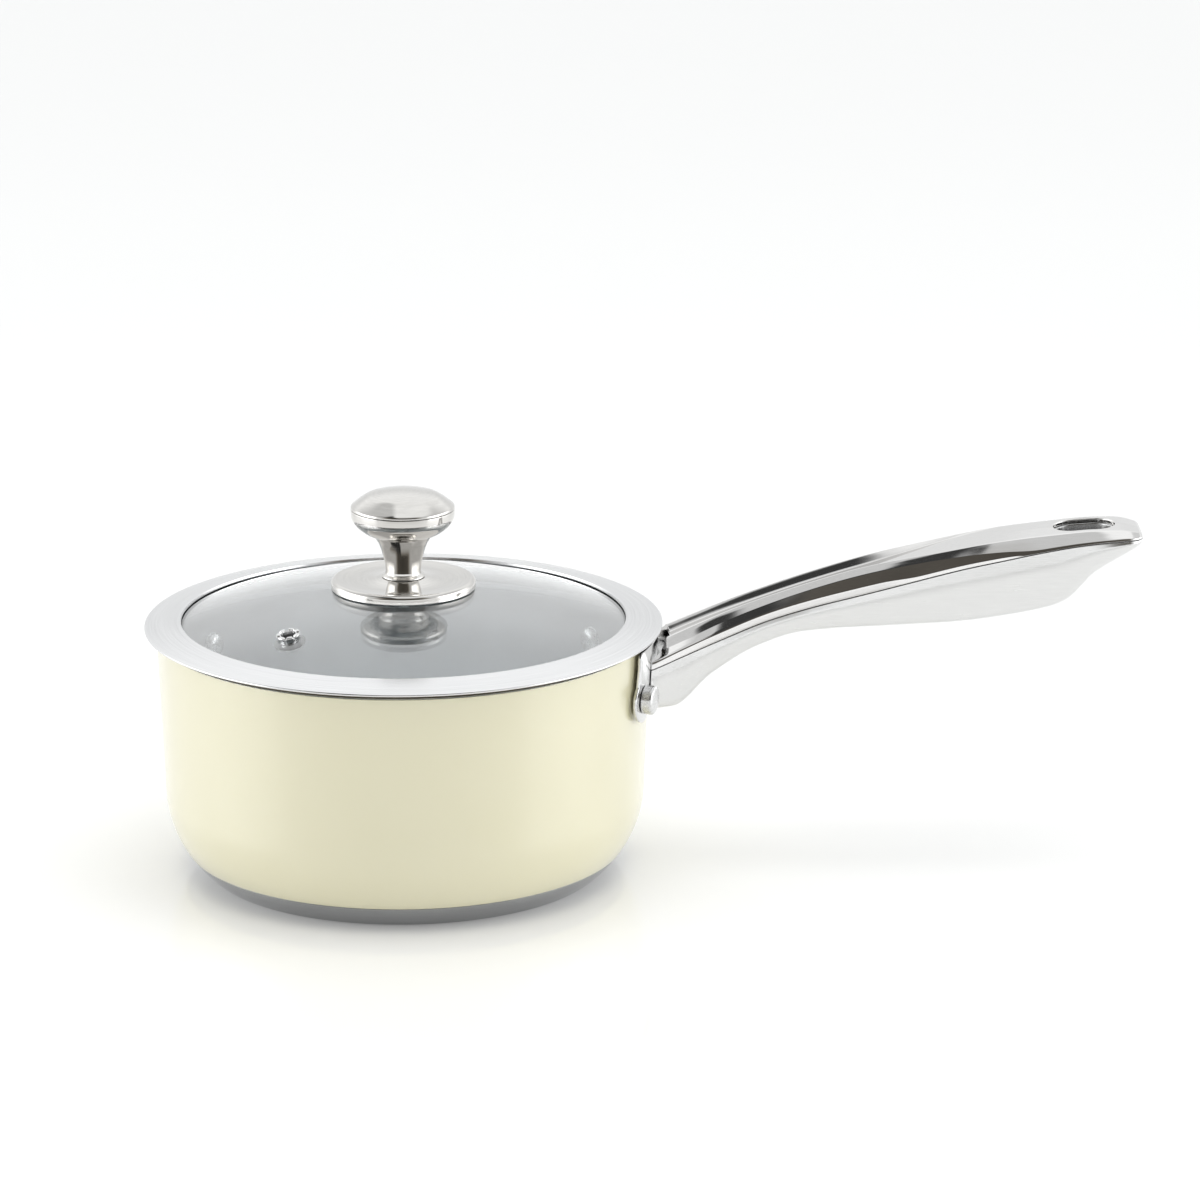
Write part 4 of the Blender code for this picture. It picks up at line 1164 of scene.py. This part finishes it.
# The room's parts as spans of a direction's x, y or z (or of its facing, -1 in front of the pan)
BACK_LOW = 0.78
BACK_FACING = (0.0, 0.3)
BACK_DIM_RISE = (0.24, 0.52)
RAISED_FROM, RAISED_TO = 20.0, 36.0
SIDE_LIMIT = 0.8
BACK_LIMIT = 1.2
LIMIT_CHANGE = (120.0, 150.0)
STRIP = 1.25
STRIP_RISE = (0.08, 0.2)
STRIP_FACING = (-0.5, -0.2)
TOP_FROM, TOP_TO = 46.0, 60.0
TOP_FRONT = 0.05
TOP_BACK = 0.75
TOP_EDGE = (-0.08, 0.0)
TOP_REACH = 0.95
TOP_REACH_ACROSS = (-0.19, -0.08)
GLEAM = 0.5
GLEAM_ACROSS = (-0.21, -0.13)
GLEAM_DEPTH = (-0.54, -0.38)
PANEL = 1.2
PANEL_LEFT = (-0.24, -0.1)
PANEL_RIGHT = (0.42, 0.6)
PANEL_DEPTH = (-0.22, -0.1)
TONE_SPAN = (0.1, 0.8)
WARM_DARK = (1.0, 0.92, 0.80)
COOL_BRIGHT = (0.985, 0.996, 1.0)


def floor():
    """A large pale sheet with a slight gloss."""
    mesh_data = bmesh.new()
    reach = FLOOR_REACH / MM
    corners = [(-reach, -reach), (reach, -reach), (reach, reach), (-reach, reach)]
    mesh_data.faces.new([mesh_data.verts.new((x, y, -0.05)) for x, y in corners])
    look = Look("floor_white", (0.88, 0.88, 0.875), 0.0, 0.07, IOR=1.45,
                Emission_Strength=FLOOR_GLOW)
    look.shader.inputs["Emission Color"].default_value = (1.0, 1.0, 1.0, 1.0)
    look.spread(look.even_grain(3.0), 0.06, 0.08)
    finish(mesh_data, "floor", look.material)


def room():
    """A studio seen only as light: dark in front of the pan, bright at both sides and above."""
    world = bpy.data.worlds.new("room")
    bpy.context.scene.world = world
    tree = Tree(world)
    maths, passage, blend = tree.maths, tree.passage, tree.blend
    split = tree.node("ShaderNodeSeparateXYZ")
    tree.links.new(tree.node("ShaderNodeTexCoord").outputs["Generated"], split.inputs[0])
    x, y, z = split.outputs

    def rise(low, high):
        """0 to 1 as a direction climbs between two elevations in degrees."""
        span = (math.sin(math.radians(low)), math.sin(math.radians(high)))
        return passage(z, span, 0.0, 1.0)

    def turn(degrees):
        return tuple(math.radians(angle) for angle in degrees)

    facing = maths("DIVIDE", y, maths("MAXIMUM", tree.length(x, y), 1e-4))
    azimuth = maths("ARCCOSINE", maths("MULTIPLY", facing, -0.9999))
    around = 0.0
    for (low, first), (high, second) in zip(ROOM_PROFILE, ROOM_PROFILE[1:]):
        around = maths("ADD", around, passage(azimuth, turn((low, high)), 0.0, second - first))
    around = maths("ADD", around, ROOM_PROFILE[0][1])
    dimming = maths("MULTIPLY", passage(y, BACK_FACING, 0.0, 1.0),
                    passage(z, BACK_DIM_RISE, 1.0 - BACK_LOW, 0.0))
    around = maths("MULTIPLY", around, maths("SUBTRACT", 1.0, dimming))
    limit = passage(azimuth, turn(LIMIT_CHANGE), SIDE_LIMIT, BACK_LIMIT)
    around = blend(around, maths("MINIMUM", around, limit), rise(RAISED_FROM, RAISED_TO))
    strip = maths("MULTIPLY", passage(z, STRIP_RISE, STRIP, 0.0),
                  passage(facing, STRIP_FACING, 1.0, 0.0))
    around = maths("MAXIMUM", around, strip)

    reach = passage(x, TOP_REACH_ACROSS, 0.0, TOP_REACH)
    overhead = passage(maths("ADD", y, reach), TOP_EDGE, TOP_FRONT, TOP_BACK)
    gleam = maths("MULTIPLY", passage(x, GLEAM_ACROSS, 0.0, GLEAM),
                  passage(y, GLEAM_DEPTH, 0.0, 1.0))
    panel = maths("MULTIPLY", passage(x, PANEL_LEFT, 0.0, 1.0), passage(y, PANEL_DEPTH, 0.0, 1.0))
    panel = maths("MULTIPLY", panel, passage(x, PANEL_RIGHT, 1.0, 0.0))
    overhead = blend(maths("MAXIMUM", overhead, gleam), PANEL, panel)
    share = rise(TOP_FROM, TOP_TO)
    radiance = blend(around, overhead, share)

    tone = tree.node("ShaderNodeMix", data_type="RGBA")
    tone.inputs["A"].default_value = (*WARM_DARK, 1.0)
    tone.inputs["B"].default_value = (*COOL_BRIGHT, 1.0)
    coolness = maths("MAXIMUM", share, passage(radiance, TONE_SPAN, 0.0, 1.0))
    tree.links.new(coolness, tone.inputs["Factor"])
    shader = tree.nodes["Background"]
    tree.links.new(tone.outputs["Result"], shader.inputs["Color"])
    tree.links.new(radiance, shader.inputs["Strength"])


def soft_box(name, place_at, tilt, width, depth, power):
    """A broad panel that steel doesn't mirror."""
    data = bpy.data.lights.new(name, "AREA")
    data.shape = "RECTANGLE"
    data.size = width
    data.size_y = depth
    data.energy = power
    made = bpy.data.objects.new(name, data)
    made.location = place_at
    made.rotation_euler = (math.radians(tilt), 0.0, 0.0)
    made.visible_glossy = False
    made.visible_transmission = False
    bpy.context.scene.collection.objects.link(made)


def camera():
    data = bpy.data.cameras.new("camera")
    data.lens = CAMERA_LENS
    data.sensor_width = 36.0
    data.clip_end = 50.0
    made = bpy.data.objects.new("camera", data)
    made.location = CAMERA_PLACE
    made.rotation_euler = (math.radians(90.0 - CAMERA_PITCH), 0.0, 0.0)
    bpy.context.scene.collection.objects.link(made)
    bpy.context.scene.camera = made


def main():
    for build in (pan_body, enamel_coat, base_core, base_cap, handle_bracket):
        build()
    for side, azimuth in (("near", -RIVET_AZIMUTH), ("far", RIVET_AZIMUTH)):
        rivet(side, azimuth)
        rivet_spacer(side, azimuth)
    rest_stud("left", STUD_LEFT_AZIMUTH)
    rest_stud("right", STUD_RIGHT_AZIMUTH)
    for build in (handle, lid_glass, lid_rim, lid_gasket, vent_eyelet, vent_washer,
                  knob_base_disc, knob_stem, knob_cap, knob_fixings, floor, room):
        build()
    soft_box("front_light", (0.1, -1.7, 0.45), 78.0, 1.4, 0.5, FRONT_POWER)
    soft_box("top_light", (0.05, -0.3, 1.6), 4.0, 1.4, 0.9, TOP_POWER)
    camera()
    bpy.context.scene.view_settings.view_transform = "Standard"


main()
